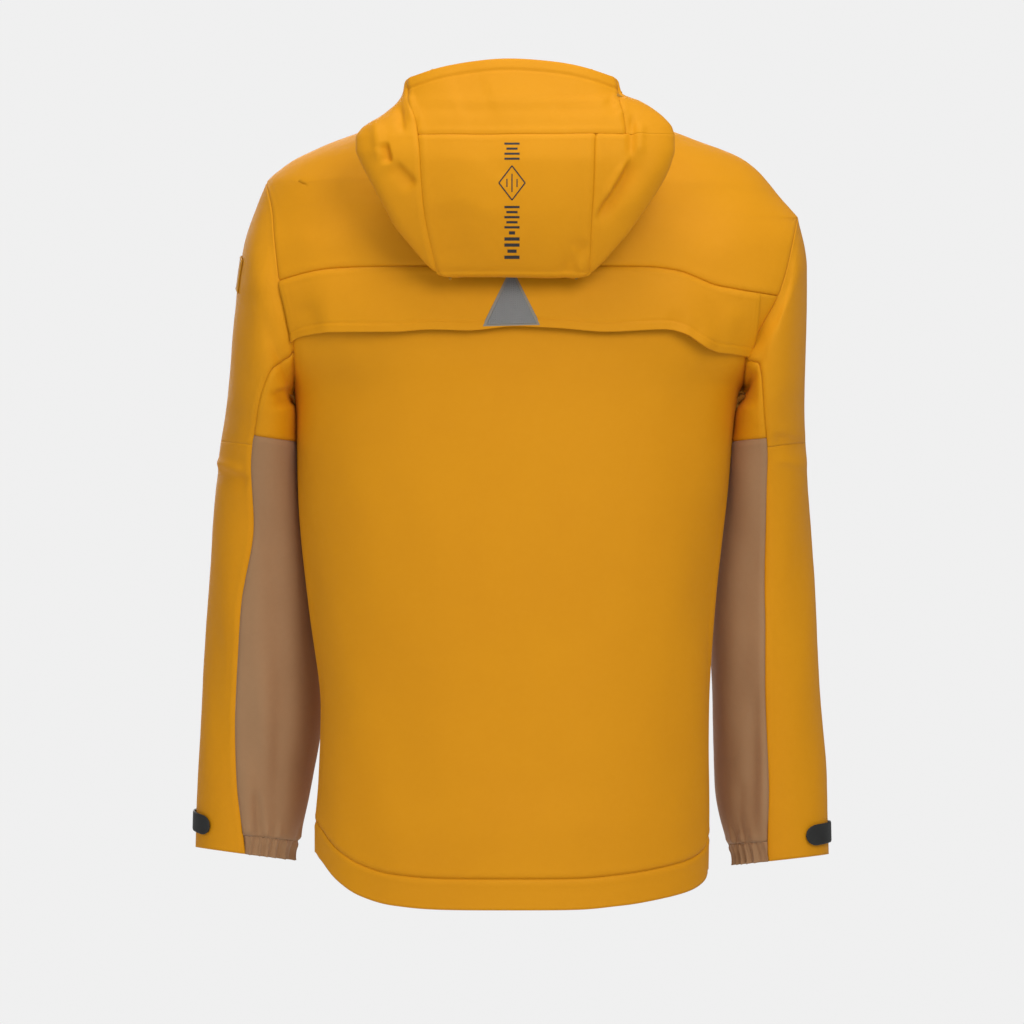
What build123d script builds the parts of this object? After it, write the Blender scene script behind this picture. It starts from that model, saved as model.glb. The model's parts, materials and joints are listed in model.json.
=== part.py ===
"""Hooded hardshell jacket, shaped as worn on an upright body, in millimetres.

Modelling axes: +X is the wearer's left, the front faces -Y, and z is the height above the back hem.
Every solid is exported after a shift that puts the origin at the hang loop inside the nape.
"""

from build123d import *
from math import asin, atan2, cos, degrees, pi, radians, sin
import os

# ---------------------------------------------------------------- driving dimensions
FABRIC = 2.0  # laminate with its backer and seam allowance
SEAM = 0.4  # gap between neighbouring cut panels
LEFT, RIGHT = 1, -1  # sign of x on the wearer's left and right

HEM_SIDE = 56  # how far the front and side hem sit above the back hem
HEM_DEPTH = 30  # height of the hem band
YOKE_SEAM = 640  # height of the back seam that carries the vent flap
SIDE_SEAM_Y, SHOULDER_SEAM_Y = 8, -18
NECK_HALF_WIDTH, NECK_BACK, NECK_FRONT = 80, 62, -92
VENT_HALF_WIDTH, VENT_FOOT, VENT_HEAD = 150, 602, 630

ZIP_FOOT, ZIP_HEAD = 66, 786  # lowest and highest height of the main zip
ZIP_FOOT_DEPTH, ZIP_SLOPE = 130, 0.052  # front centre line: y = -(130 - 0.052 z)
TAPE_EDGE, TAPE_THICKNESS = 14.6, 1.0
FRONT_EDGE = 15  # where the front panels stop beside the main zip
COIL_WIDTH, COIL_THICKNESS, COIL_GAP = 2.6, 2.0, 1.6

LOOP_Y, LOOP_Z = 54, 792  # centre of the hang loop's gap, and the origin
TO_ORIGIN = Pos(0, -LOOP_Y, -LOOP_Z)

# height, half width on the wearer's left and right, depth to the back and to the front
TORSO = [
    (-12, 198, 196, 124, 131),
    (70, 198, 197, 124, 126),
    (200, 192, 197, 122, 120),
    (300, 203, 203, 124, 114),
    (400, 213, 215, 127, 109),
    (515, 219, 229, 128, 103),
    (560, 255, 272, 127, 101),
    (620, 284, 312, 122, 98),
    (680, 274, 305, 110, 95),
    (722, 248, 262, 98, 92),
    (742, 226, 238, 87, 80),
    (760, 192, 200, 75, 68),
    (777, 148, 158, 61, 56),
    (792, 108, 114, 45, 40),
    (804, 70, 74, 30, 26),
]

# Armhole, as its lowest and highest point in the XZ plane
ARMHOLE = {LEFT: ((221, 515), (246, 722)), RIGHT: ((231, 515), (288, 689))}

# Each sleeve section: (inner x, z), (outer x, z), centre y, half depth, turn of the inner panel's back seam
UPPER_SLEEVE = {
    LEFT: [
        ((223, 515), (248, 720), 0, 67, 211),
        ((223, 508), (268, 664), -3, 74, 210),
        ((222, 501), (279, 584), -8, 76, 191),
        ((222, 488), (286, 506), -18, 74, 173),
        ((219, 441), (294, 451), -34, 68, 168),
    ],
    RIGHT: [
        ((233, 515), (290, 687), 0, 66, 209),
        ((233, 508), (295, 640), -3, 73, 205),
        ((232, 500), (293, 575), -8, 75, 196),
        ((231, 488), (292, 505), -18, 74, 187),
        ((222, 441), (295, 449), -34, 68, 178),
    ],
}
LOWER_SLEEVE = {
    LEFT: [
        ((219, 440), (294, 450), -34, 68, 168),
        ((210, 380), (300, 384), -50, 65, 172),
        ((198, 300), (306, 300), -62, 62, 158),
        ((191, 201), (312, 205), -68, 58, 155),
        ((204, 120), (316, 128), -70, 52, 163),
        ((219, 48), (317, 64), -72, 46, 181),
    ],
    RIGHT: [
        ((222, 440), (295, 448), -34, 68, 181),
        ((212, 380), (299, 384), -50, 65, 178),
        ((202, 300), (304, 300), -62, 62, 178),
        ((200, 205), (310, 205), -68, 58, 182),
        ((203, 120), (317, 125), -70, 52, 183),
        ((221, 42), (319, 55), -72, 46, 197),
    ],
}
GATHER_ROW = 4.74  # place of the elastic seam along the lower sleeve's rows
TAB_ROW, TAB_ROWS_PER_MM = 4.68, 0.0156
TAB_ROOT_TURN, TAB_TIP_TURN = 42, 139
TAB_HALF_WIDTH = 10
TAB_LIFT, TAB_WALL = 4.0, 2.0

FLAP_FOOT = 577
FLAP_END = {LEFT: 208, RIGHT: 224}
FLAP_LIFT, FLAP_WALL = 6.5, 2.0

# Hood bag: height, half width on the left and right, y of its rear wall and of its outer wall
HOOD = [
    (630, 64, 68, 138, 152),
    (648, 86, 91, 134, 165),
    (670, 107, 112, 129, 175),
    (700, 127, 134, 122, 185),
    (740, 147, 155, 114, 188),
    (775, 151, 160, 108, 180),
    (790, 130, 147, 102, 176),
    (806, 112, 120, 97, 170),
    (846, 104, 105, 88, 150),
]
HOOD_WALL = 2.4
HOOD_REAR_TOP = 797  # the rear panel ends at the nape, where the hood's neck carries on
HOOD_FLOOR = 6
VISOR_SEAM = 771
CROWN_SEAM = {LEFT: 96, RIGHT: 85}
VISOR_SEAM_X = {LEFT: 103, RIGHT: 104}
HOOD_TOP, HOOD_TOP_DROP, HOOD_TOP_HALF_WIDTH = 843, 20, 107
WING_OFFSET, WING_WALL = 9, 2.0

POCKET_X, POCKET_FOOT, POCKET_LENGTH, POCKET_LEAN = 128, 175, 165, 8
POCKET_PULL_PROUD = 7.2  # how far the pull's pin stands in front of the zip, clear of the curved panel


# ---------------------------------------------------------------- smooth tables
def eased(values, t):
    """Value at t on a smooth curve through evenly spaced values that never overshoots them."""
    k = max(0, min(int(t), len(values) - 2))
    steps = [b - a for a, b in zip(values, values[1:])]

    def slope(n):
        before, after = steps[max(n - 1, 0)], steps[min(n, len(steps) - 1)]
        return 0.0 if before * after <= 0 else 2 * before * after / (before + after)

    u = t - k
    a, b, m0, m1 = values[k], values[k + 1], slope(k), slope(k + 1)
    return a + (3 * u * u - 2 * u**3) * (b - a) + (u - 2 * u * u + u**3) * m0 + (u**3 - u * u) * m1


def flat(row):
    """One table row as a flat list of numbers."""
    numbers = []
    for item in row:
        numbers += list(item) if isinstance(item, tuple) else [item]
    return numbers


def smooth_rows(rows, per_gap=2):
    """The table's rows with more rows eased in between them."""
    columns = list(zip(*[flat(row) for row in rows]))
    count = (len(rows) - 1) * per_gap + 1
    return [[eased(column, n / per_gap) for column in columns] for n in range(count)]


def row_at(rows, height):
    """The row of a fine table at a height, the first column being the height."""
    for low, high in zip(rows, rows[1:]):
        if low[0] <= height <= high[0]:
            share = (height - low[0]) / (high[0] - low[0])
            return [a + (b - a) * share for a, b in zip(low, high)]
    return rows[-1] if height > rows[-1][0] else rows[0]


def rows_between(rows, low, high):
    """The fine table cut to a range of heights."""
    inside = [row for row in rows if low + 1 < row[0] < high - 1]
    return [row_at(rows, low)] + inside + [row_at(rows, high)]


# ---------------------------------------------------------------- rings
def oval_point(turn, left, right, back, front):
    """A point on an oval of four quarter ellipses; turn runs from the front centre round by +X."""
    across, along = sin(radians(turn)), -cos(radians(turn))
    return across * (left if across > 0 else right), along * (back if along > 0 else front)


def with_slants(rows):
    """Rows followed by how much each half axis must change for one millimetre of wall."""
    slanted = []
    for n, row in enumerate(rows):
        low, high = rows[max(n - 1, 0)], rows[min(n + 1, len(rows) - 1)]
        rise = high[0] - low[0]
        slanted.append(row + [(1 + ((high[k] - low[k]) / rise) ** 2) ** 0.5 for k in range(1, 5)])
    return slanted


TORSO_ROWS = with_slants(smooth_rows(TORSO))


def torso_point(row, turn, lift):
    halves = [row[k] + lift * row[k + 4] for k in range(1, 5)]
    x, y = oval_point(turn, *halves)
    return Vector(x, y, row[0])


def sleeve_ring(side):
    """A ring function for a sleeve row; turn runs from the front centre round by the outside."""

    def point(row, turn, lift):
        x0, z0, x1, z1, centre_y, half_depth = row[:6]
        inner, outer = Vector(x0, 0, z0), Vector(x1, 0, z1)
        middle, half = (inner + outer) * 0.5, (outer - inner).length / 2 + lift
        along = (outer - inner).normalized()
        reach = sin(radians(turn)) * half
        y = centre_y - cos(radians(turn)) * (half_depth + lift)
        p = middle + along * reach
        return Vector(side * p.X, y, p.Z)

    return point


def panel(ring, rows, start, end, lift=0.0, wall=FABRIC, points=13):
    """A curved sheet lofted through the rows, from the start turn to the end turn.

    start and end are numbers or functions of the row; the sheet's outer face is lifted by lift.
    """
    wires = []
    for row in rows:
        a = start(row) if callable(start) else start
        b = end(row) if callable(end) else end
        turns = [a + (b - a) * k / (points - 1) for k in range(points)]
        outer = [ring(row, turn, lift) for turn in turns]
        inner = [ring(row, turn, lift - wall) for turn in reversed(turns)]
        edges = [Edge.make_spline(outer), Edge.make_line(outer[-1], inner[0])]
        edges += [Edge.make_spline(inner), Edge.make_line(inner[-1], outer[0])]
        wires.append(Wire(edges))
    return Solid.make_loft(wires, ruled=True)


def ribbon(centre_line, foot, head, wall, turns):
    """A standing band: centre_line(turn, out) gives x and y, foot and head give heights."""
    wires = []
    for turn in turns:
        (x0, y0), (x1, y1) = centre_line(turn, 0.0), centre_line(turn, wall)
        corners = [(x0, y0, foot(turn)), (x0, y0, head(turn)), (x1, y1, head(turn)), (x1, y1, foot(turn))]
        wires.append(Wire.make_polygon([Vector(*c) for c in corners], close=True))
    return Solid.make_loft(wires, ruled=True)


def turn_for_x(x):
    """Turn at which a torso row reaches x; front side."""
    return lambda row: degrees(asin(x / row[1 if x > 0 else 2]))


def back_turn_for_x(x):
    """Turn at which a torso row reaches x; back side."""
    return lambda row: 180 - degrees(asin(x / row[1 if x > 0 else 2]))


def turn_for_y(y, side):
    """Turn on the given side at which a torso row reaches y."""

    def turn(row):
        reach = degrees(asin(y / row[3 if y > 0 else 4]))
        return 90 + reach if side == LEFT else 270 - reach

    return turn


# ---------------------------------------------------------------- cutting tools
def block(x0, x1, y0, y1, z0, z1):
    """A box between two corners."""
    size = Box(abs(x1 - x0), abs(y1 - y0), abs(z1 - z0))
    return Pos((x0 + x1) / 2, (y0 + y1) / 2, (z0 + z1) / 2) * size


def prism_x(outline, half_width):
    """A YZ outline extruded across the whole width."""
    face = make_face(Polyline(*[(0, y, z) for y, z in outline], close=True))
    return extrude(face, half_width, dir=(1, 0, 0), both=True)


def prism_y(outline, y0, y1):
    """An XZ outline extruded from y0 to y1."""
    face = make_face(Polyline(*[(x, y0, z) for x, z in outline], close=True))
    return extrude(face, y1 - y0, dir=(0, 1, 0))


HEM_CURVE = [(-200, HEM_SIDE), (5, HEM_SIDE), (30, 48), (57, 29), (80, 13), (100, 4), (130, 0), (200, 0)]


def hem_height(y):
    """Height of the hem's edge at a depth: low at the back, rising by the sides to the front."""
    for (y0, z0), (y1, z1) in zip(HEM_CURVE, HEM_CURVE[1:]):
        if y0 <= y <= y1:
            return z0 + (z1 - z0) * (y - y0) / (y1 - y0)
    return 0.0


def below_hem(shift):
    outline = [(y, z + shift) for y, z in HEM_CURVE] + [(200, -60), (-200, -60)]
    return prism_x(outline, 300)


def outside_armhole(side):
    """The space beyond the armhole plane, from the underarm up."""
    (x0, z0), (x1, z1) = ARMHOLE[side]
    reach = (x1 - x0) / (z1 - z0)
    outline = [(x0, z0), (x1 + 60 * reach, z1 + 60), (420, z1 + 60), (420, z0)]
    return prism_y([(side * x, z) for x, z in outline], -200, 200)


def neck_tube(grow):
    """The neck hole, grown outwards."""
    centre = (NECK_BACK + NECK_FRONT) / 2
    half = (NECK_BACK - NECK_FRONT) / 2
    face = make_face(Ellipse(NECK_HALF_WIDTH + grow, half + grow))
    return Pos(0, centre, 680) * extrude(face, 200)


def zip_y(z):
    """y of the front surface on the centre line."""
    return -(ZIP_FOOT_DEPTH - ZIP_SLOPE * z)


def zip_strip(x0, x1, proud, thickness, z0, z1):
    """A strip along the sloping front centre line; its outer face stands proud of the line."""
    outline = [(zip_y(z0) - proud, z0), (zip_y(z1) - proud, z1)]
    outline += [(y + thickness, z) for y, z in reversed(outline)]
    face = make_face(Polyline(*[(x0, y, z) for y, z in outline], close=True))
    return extrude(face, x1 - x0, dir=(1, 0, 0))


# ---------------------------------------------------------------- torso
SIDES = ((LEFT, "left"), (RIGHT, "right"))


def front_bounds(side):
    """Start and end turns of a front panel, from the zip to the side seam."""
    edge, seam = turn_for_x(side * FRONT_EDGE), turn_for_y(SIDE_SEAM_Y - SEAM, side)
    if side == LEFT:
        return edge, seam
    return seam, lambda row: edge(row) + 360


def torso_nodes():
    neck = neck_tube(COLLAR_WALL)
    lower, upper = rows_between(TORSO_ROWS, -12, YOKE_SEAM), rows_between(TORSO_ROWS, YOKE_SEAM + SEAM, 804)
    hem_rows = rows_between(TORSO_ROWS, -12, 110)
    back_bounds = turn_for_y(SIDE_SEAM_Y, LEFT), turn_for_y(SIDE_SEAM_Y, RIGHT)
    back = panel(torso_point, lower, *back_bounds)
    back_hem = panel(torso_point, hem_rows, *back_bounds)
    yoke = panel(torso_point, upper, turn_for_y(SHOULDER_SEAM_Y, LEFT), turn_for_y(SHOULDER_SEAM_Y, RIGHT))
    window = block(-VENT_HALF_WIDTH, VENT_HALF_WIDTH, 60, 200, VENT_FOOT, VENT_HEAD)
    nodes = {
        "back_panel": back - below_hem(HEM_DEPTH + SEAM) - window - outside_armhole(LEFT) - outside_armhole(RIGHT),
        "back_yoke": yoke - neck - outside_armhole(LEFT) - outside_armhole(RIGHT),
        "hem_band_back": (back_hem & below_hem(HEM_DEPTH)) - below_hem(0),
        "vent_mesh": panel(
            torso_point,
            rows_between(TORSO_ROWS, VENT_FOOT + 0.3, VENT_HEAD - 0.3),
            back_turn_for_x(VENT_HALF_WIDTH - 0.5),
            back_turn_for_x(0.5 - VENT_HALF_WIDTH),
            lift=-0.5,
            wall=1.0,
        ),
    }
    for side, name in SIDES:
        start, end = front_bounds(side)
        lower_front = panel(torso_point, lower, start, end)
        shoulder = turn_for_y(SHOULDER_SEAM_Y - SEAM, side)
        edge = turn_for_x(side * FRONT_EDGE)
        if side == LEFT:
            upper_front = panel(torso_point, upper_front_rows(), edge, shoulder)
        else:
            upper_front = panel(torso_point, upper_front_rows(), shoulder, lambda row: edge(row) + 360)
        hem = panel(torso_point, hem_rows, start, end)
        whole = lower_front + (upper_front - neck)
        whole -= below_hem(HEM_DEPTH + SEAM)
        whole -= outside_armhole(side)
        nodes[f"front_panel_{name}"] = whole - pocket_slot(side)
        nodes[f"hem_band_front_{name}"] = (hem & below_hem(HEM_DEPTH)) - below_hem(0)
    return nodes


def upper_front_rows():
    return rows_between(TORSO_ROWS, YOKE_SEAM, 804)


def hem_inner_nodes():
    """Facing that closes the hem channel, the cord inside it and its two locks."""
    turns = even_turns(22, 338, 97)
    row = row_at(TORSO_ROWS, 60)

    def line(lift):
        def centre(turn, out):
            p = torso_point(row, turn, lift + out)
            return p.X, p.Y

        return centre

    def foot(turn):
        return hem_height(line(0)(turn, 0)[1]) + 3

    facing = panel(torso_point, rows_between(TORSO_ROWS, -12, 110), 22, 338, lift=-5.8, wall=0.8, points=33)
    facing = (facing & below_hem(HEM_DEPTH - 3)) - below_hem(3)
    cord = round_cord([Vector(*line(-3.9)(turn, 0), foot(turn) + 12) for turn in turns], 1.2)
    locks = Compound([cord_lock(side, *line(-6.2)(side * 18.5, 0), foot(0) + 12) for side, name in SIDES])
    return {"hem_facing": facing, "hem_drawcord": cord, "hem_cord_locks": locks}


def round_cord(path, radius):
    """A round cord through the points of its path."""
    wires = []
    for k, point in enumerate(path):
        ahead, behind = path[min(k + 1, len(path) - 1)], path[max(k - 1, 0)]
        plane = Plane(origin=point, x_dir=(0, 0, 1), z_dir=ahead - behind)
        wires.append(Wire.make_circle(radius, plane))
    return Solid.make_loft(wires, ruled=True)


def cord_lock(side, x, y, z):
    """Barrel lock on an end of the hem cord, with its spring button on top."""
    barrel = Rot(0, 90, 0) * Cylinder(4.2, 11)
    button = Pos(0, 0, 5.6) * Cylinder(2.6, 5)
    bore = Pos(side * 3.5, 0, 0) * Rot(0, 90, 0) * Cylinder(1.6, 8)
    return (Pos(x, y + 1.2, z) * Rot(0, 0, side * 16) * (barrel + button - bore)).solids()[0]


COLLAR_WALL = 2.0


def neck_line(offset):
    """Plan curve of the neckline, grown outwards by offset."""
    centre = (NECK_BACK + NECK_FRONT) / 2
    half = (NECK_BACK - NECK_FRONT) / 2

    def line(turn, out):
        grow = offset(turn) if callable(offset) else offset
        x = (NECK_HALF_WIDTH + grow + out) * sin(radians(turn))
        return x, centre - (half + grow + out) * cos(radians(turn))

    return line


def wave(front, side, back):
    """A height that passes through three values as the turn runs from front to side to back."""
    middle, half = (front + back) / 2, (front - back) / 2
    a, c = (middle + side) / 2, (middle - side) / 2
    return lambda turn: a + half * cos(radians(turn)) + c * cos(radians(2 * turn))


def surface_height(x, y):
    """Height of the shoulder surface above a point of the plan."""
    for row in reversed(TORSO_ROWS):
        half_x = row[1] if x > 0 else row[2]
        half_y = row[3] if y > 0 else row[4]
        if (x / half_x) ** 2 + (y / half_y) ** 2 <= 1:
            return row[0] + 6
    return 0


def even_turns(start, end, count):
    return [start + (end - start) * k / (count - 1) for k in range(count)]


def collar_nodes():
    """Outer collar and its brushed lining, open at the zip, with a chin guard over the zip's head."""
    gap = degrees(asin(FRONT_EDGE / NECK_HALF_WIDTH))
    turns = even_turns(gap, 360 - gap, 41)
    foot, head = wave(731, 800, 777), wave(796, 838, 820)
    guard = zip_strip(-13, 13, -6.2, 1.2, ZIP_HEAD - 24, 792)
    return {
        "collar_outer": ribbon(neck_line(0), foot, head, COLLAR_WALL, turns),
        "collar_lining": ribbon(neck_line(-1.6), foot, head, 1.2, turns),
        "chin_guard": guard,
    }


def main_zip_nodes():
    tape_inner = COIL_GAP / 2 + COIL_WIDTH
    nodes = {}
    for side, name in SIDES:
        edges = sorted((side * tape_inner, side * TAPE_EDGE))
        nodes[f"main_zip_tape_{name}"] = zip_strip(*edges, -0.4, TAPE_THICKNESS, ZIP_FOOT, ZIP_HEAD)
        edges = sorted((side * COIL_GAP / 2, side * tape_inner))
        nodes[f"main_zip_coil_{name}"] = zip_strip(*edges, 0.1, COIL_THICKNESS, ZIP_FOOT + 8, ZIP_HEAD)
    box_half = COIL_GAP / 2 + COIL_WIDTH - 0.1
    nodes["main_zip_box"] = zip_strip(-box_half, box_half, 0.8, 3.4, ZIP_FOOT - 4, ZIP_FOOT + 7.6)
    nodes["storm_placket"] = zip_strip(-22, 16, -7.8, 1.2, ZIP_FOOT - 2, 716)
    return nodes


PULL_PROUD = 4.6  # how far the pull's pin stands in front of the zip


def main_slider(z_top, length=15):
    """Slider on the main zip: two plates joined by a post between the coils, with a bail for the pull."""
    proud = 2.6
    plate = zip_strip(-6.5, 6.5, proud, 1.5, z_top - length, z_top)
    back = zip_strip(-6.5, 6.5, -3.0, 1.4, z_top - length, z_top)
    post = zip_strip(-0.4, 0.4, proud, 6.0, z_top - 4, z_top - 1)
    crown = zip_strip(-2.0, 2.0, PULL_PROUD + 1.4, 3.8, z_top - 11, z_top - 3)
    middle = z_top - 7
    hole = Pos(0, zip_y(middle) - PULL_PROUD, middle) * Rot(0, 90, 0) * Cylinder(0.9, 20)
    return plate + back + post + crown - hole


def pull_tab(length):
    """A moulded pull hanging from a pin along X at its origin."""
    pin = Rot(0, 90, 0) * Cylinder(0.55, 6.4)
    arms = block(2.4, 3.4, -0.9, 0.9, -6.2, 1.2) + block(-3.4, -2.4, -0.9, 0.9, -6.2, 1.2)
    grip = block(-3.4, 3.4, -0.9, 0.9, -length, -6)
    return pin + arms + grip


def nape_nodes():
    """Hang loop with its backing tape, and a blank label, inside the nape."""
    def bow(turn):
        return -3.8 - 10.4 * max(0.0, cos(radians((turn - 180) / 22 * 90))) ** 0.6

    loop = ribbon(neck_line(bow), lambda t: LOOP_Z - 6, lambda t: LOOP_Z + 6, 1.2, even_turns(158, 202, 23))
    backing = ribbon(
        neck_line(-3.2), lambda t: LOOP_Z - 7, lambda t: LOOP_Z + 7, 1.0, even_turns(154, 206, 15)
    )
    label = panel(
        torso_point, rows_between(TORSO_ROWS, 728, 752), back_turn_for_x(18), back_turn_for_x(-18), lift=-2.6, wall=0.6
    )
    return {"hang_loop": loop + backing, "neck_label": label}


# ---------------------------------------------------------------- pockets
def pocket_place(side):
    """Frame of a hand pocket's zip: its local z runs up the leaning opening, -y points out."""
    z = POCKET_FOOT + POCKET_LENGTH / 2
    row = row_at(TORSO_ROWS, z)
    half_width, depth = row[1 if side == LEFT else 2], row[4]
    y = -depth * (1 - (POCKET_X / half_width) ** 2) ** 0.5
    slope = degrees(atan2(depth * depth * POCKET_X, half_width * half_width * -y))
    return Pos(side * POCKET_X, y, z) * Rot(0, 0, side * slope) * Rot(-2, 0, 0) * Rot(0, side * POCKET_LEAN, 0)


def pocket_slot(side):
    return pocket_place(side) * Box(16.8, 14, POCKET_LENGTH + 0.8)


def pocket_nodes():
    nodes = {}
    top = POCKET_LENGTH / 2
    for side, name in SIDES:
        place = pocket_place(side)
        tape = Pos(0, 0.2, 0) * Box(16, 1.2, POCKET_LENGTH) - Pos(0, 0.2, 0) * Box(1.8, 3, POCKET_LENGTH - 14)
        coils = Pos(2.0, 1.7, 0) * Box(2.2, 1.8, POCKET_LENGTH - 12)
        coils += Pos(-2.0, 1.7, 0) * Box(2.2, 1.8, POCKET_LENGTH - 12)
        coils += Pos(0, 1.7, -top + 8) * Box(6.2, 1.8, 2.4)
        nodes[f"pocket_zip_tape_{name}"] = place * (tape + coils)
        nodes[f"pocket_zip_slider_{name}"] = place * pocket_slider(top - 9)
        nodes[f"pocket_zip_pull_{name}"] = place * (Pos(0, -POCKET_PULL_PROUD, top - 15) * pull_tab(22))
        nodes[f"pocket_bag_{name}"] = pocket_bag(side)
    return nodes


def pocket_bag(side):
    """Flat mesh bag hanging behind the front panel from the pocket's opening."""
    rows = rows_between(TORSO_ROWS, 118, 352)
    near, far = turn_for_x(side * 62), turn_for_x(side * 150)
    if side == LEFT:
        return panel(torso_point, rows, near, far, lift=-9.0, wall=1.2)
    return panel(torso_point, rows, far, near, lift=-9.0, wall=1.2)


def pocket_slider(z_top):
    plate = block(-5.5, 5.5, -2.6, -1.4, z_top - 12, z_top)
    back = block(-5.5, 5.5, 3.8, 5.0, z_top - 12, z_top)
    post = block(-0.45, 0.45, -2.6, 5.0, z_top - 4, z_top - 1)
    crown = block(-2.0, 2.0, -POCKET_PULL_PROUD - 1.5, -2.5, z_top - 10, z_top - 2)
    hole = Pos(0, -POCKET_PULL_PROUD, z_top - 6) * Rot(0, 90, 0) * Cylinder(0.9, 20)
    return plate + back + post + crown - hole


# ---------------------------------------------------------------- vent flap
def flap_nodes():
    """Storm flap over the back vent, with a reflective triangle sewn on its middle."""
    rows = rows_between(TORSO_ROWS, FLAP_FOOT, YOKE_SEAM - 1)
    flap = panel(
        torso_point,
        rows,
        back_turn_for_x(FLAP_END[LEFT]),
        back_turn_for_x(-FLAP_END[RIGHT]),
        lift=FLAP_LIFT,
        wall=FLAP_WALL,
        points=21,
    )
    foot, head = FLAP_FOOT + 2, YOKE_SEAM - 4

    def half_width(row):
        return 29 - 27 * (row[0] - foot) / (head - foot)

    triangle = panel(
        torso_point,
        rows_between(TORSO_ROWS, foot, head),
        lambda row: back_turn_for_x(half_width(row))(row),
        lambda row: back_turn_for_x(-half_width(row))(row),
        lift=FLAP_LIFT + 1.0,
        wall=0.8,
        points=5,
    )
    return {"vent_flap": flap, "reflective_triangle": triangle}


# ---------------------------------------------------------------- hood
HOOD_ROWS = smooth_rows(HOOD)


def hood_point(row, turn, lift):
    z, left, right, y_in, y_out = row
    centre, half = (y_in + y_out) / 2, (y_out - y_in) / 2
    x, y = oval_point(turn, left + lift, right + lift, half + lift, half + lift)
    return Vector(x, centre + y, z)


def hood_turn(x):
    """Turn on the hood's outer wall at which it reaches x."""
    return lambda row: 180 - degrees(asin(max(-0.96, min(0.96, x / row[1 if x > 0 else 2]))))


def above_brim():
    arch = [(x, HOOD_TOP - HOOD_TOP_DROP * (x / HOOD_TOP_HALF_WIDTH) ** 2) for x in range(-160, 161, 20)]
    return prism_y(arch + [(160, 900), (-160, 900)], 0, 300)


def hood_nodes():
    """Hood folded down behind the neck: crown, sides, visor and the rear panel next to the back."""
    base = 630 + HOOD_FLOOR + SEAM
    low, high = rows_between(HOOD_ROWS, base, VISOR_SEAM), rows_between(HOOD_ROWS, VISOR_SEAM + SEAM, 846)
    rear = rows_between(HOOD_ROWS, base, HOOD_REAR_TOP)
    brim = above_brim()

    def sheet(rows, start, end, lift=0.0, wall=HOOD_WALL):
        return panel(hood_point, rows, start, end, lift, wall)

    crown = hood_turn(CROWN_SEAM[LEFT]), hood_turn(-CROWN_SEAM[RIGHT])
    visor = hood_turn(VISOR_SEAM_X[LEFT]), hood_turn(-VISOR_SEAM_X[RIGHT])

    def side_seam(which, gap):
        return lambda row: (visor if row[0] > VISOR_SEAM + SEAM / 2 else crown)[which](row) + gap

    floor_rows = rows_between(HOOD_ROWS, 630, 630 + HOOD_FLOOR)
    floor_wires = []
    for row in floor_rows:
        ring = [hood_point(row, 15 * k, 0) for k in range(24)]
        floor_wires.append(Wire([Edge.make_spline(ring, periodic=True)]))
    stiffener_rows = rows_between(HOOD_ROWS, 806, 818)
    nodes = {
        "hood_crown_panel": sheet(low, *crown),
        "hood_visor": sheet(high, *visor) - brim,
        "hood_brim_stiffener": sheet(stiffener_rows, hood_turn(90), hood_turn(-90), lift=-2.8, wall=1.2),
        "hood_rear_panel": sheet(rear, -72, 72),
        "hood_floor": Solid.make_loft(floor_wires, ruled=True),
    }
    sides = low + high
    nodes["hood_side_left"] = sheet(sides, 72.4, side_seam(0, -0.3)) - brim
    nodes["hood_side_right"] = sheet(sides, side_seam(1, 0.3), 287.6) - brim
    return nodes


def hood_neck_nodes():
    """The hood's fixed neck: wings round the collar to the front and a strip behind the nape."""
    line, head = neck_line(WING_OFFSET), wave(778, 830, 812)

    def foot(turn):
        heights = [surface_height(*line(turn, out)) for out in (-1.0, WING_WALL + 1.0)]
        return max(wave(735, 800, 768)(turn), *heights)

    return {
        "hood_neck_left": ribbon(line, foot, head, WING_WALL, even_turns(26, 179.8, 27)),
        "hood_neck_right": ribbon(line, foot, head, WING_WALL, even_turns(180.2, 334, 27)),
    }


# ---------------------------------------------------------------- sleeves
def rows_from(table, start, end, count):
    """Rows eased out of a coarse table between two places along it."""
    columns = list(zip(*[flat(row) for row in table]))
    return [[eased(column, t) for column in columns] for t in even_turns(start, end, count)]


def back_seam(gap=0.0):
    return lambda row: row[6] + gap


def front_seam(gap=0.0):
    return lambda row: 540 - row[6] + gap


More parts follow.
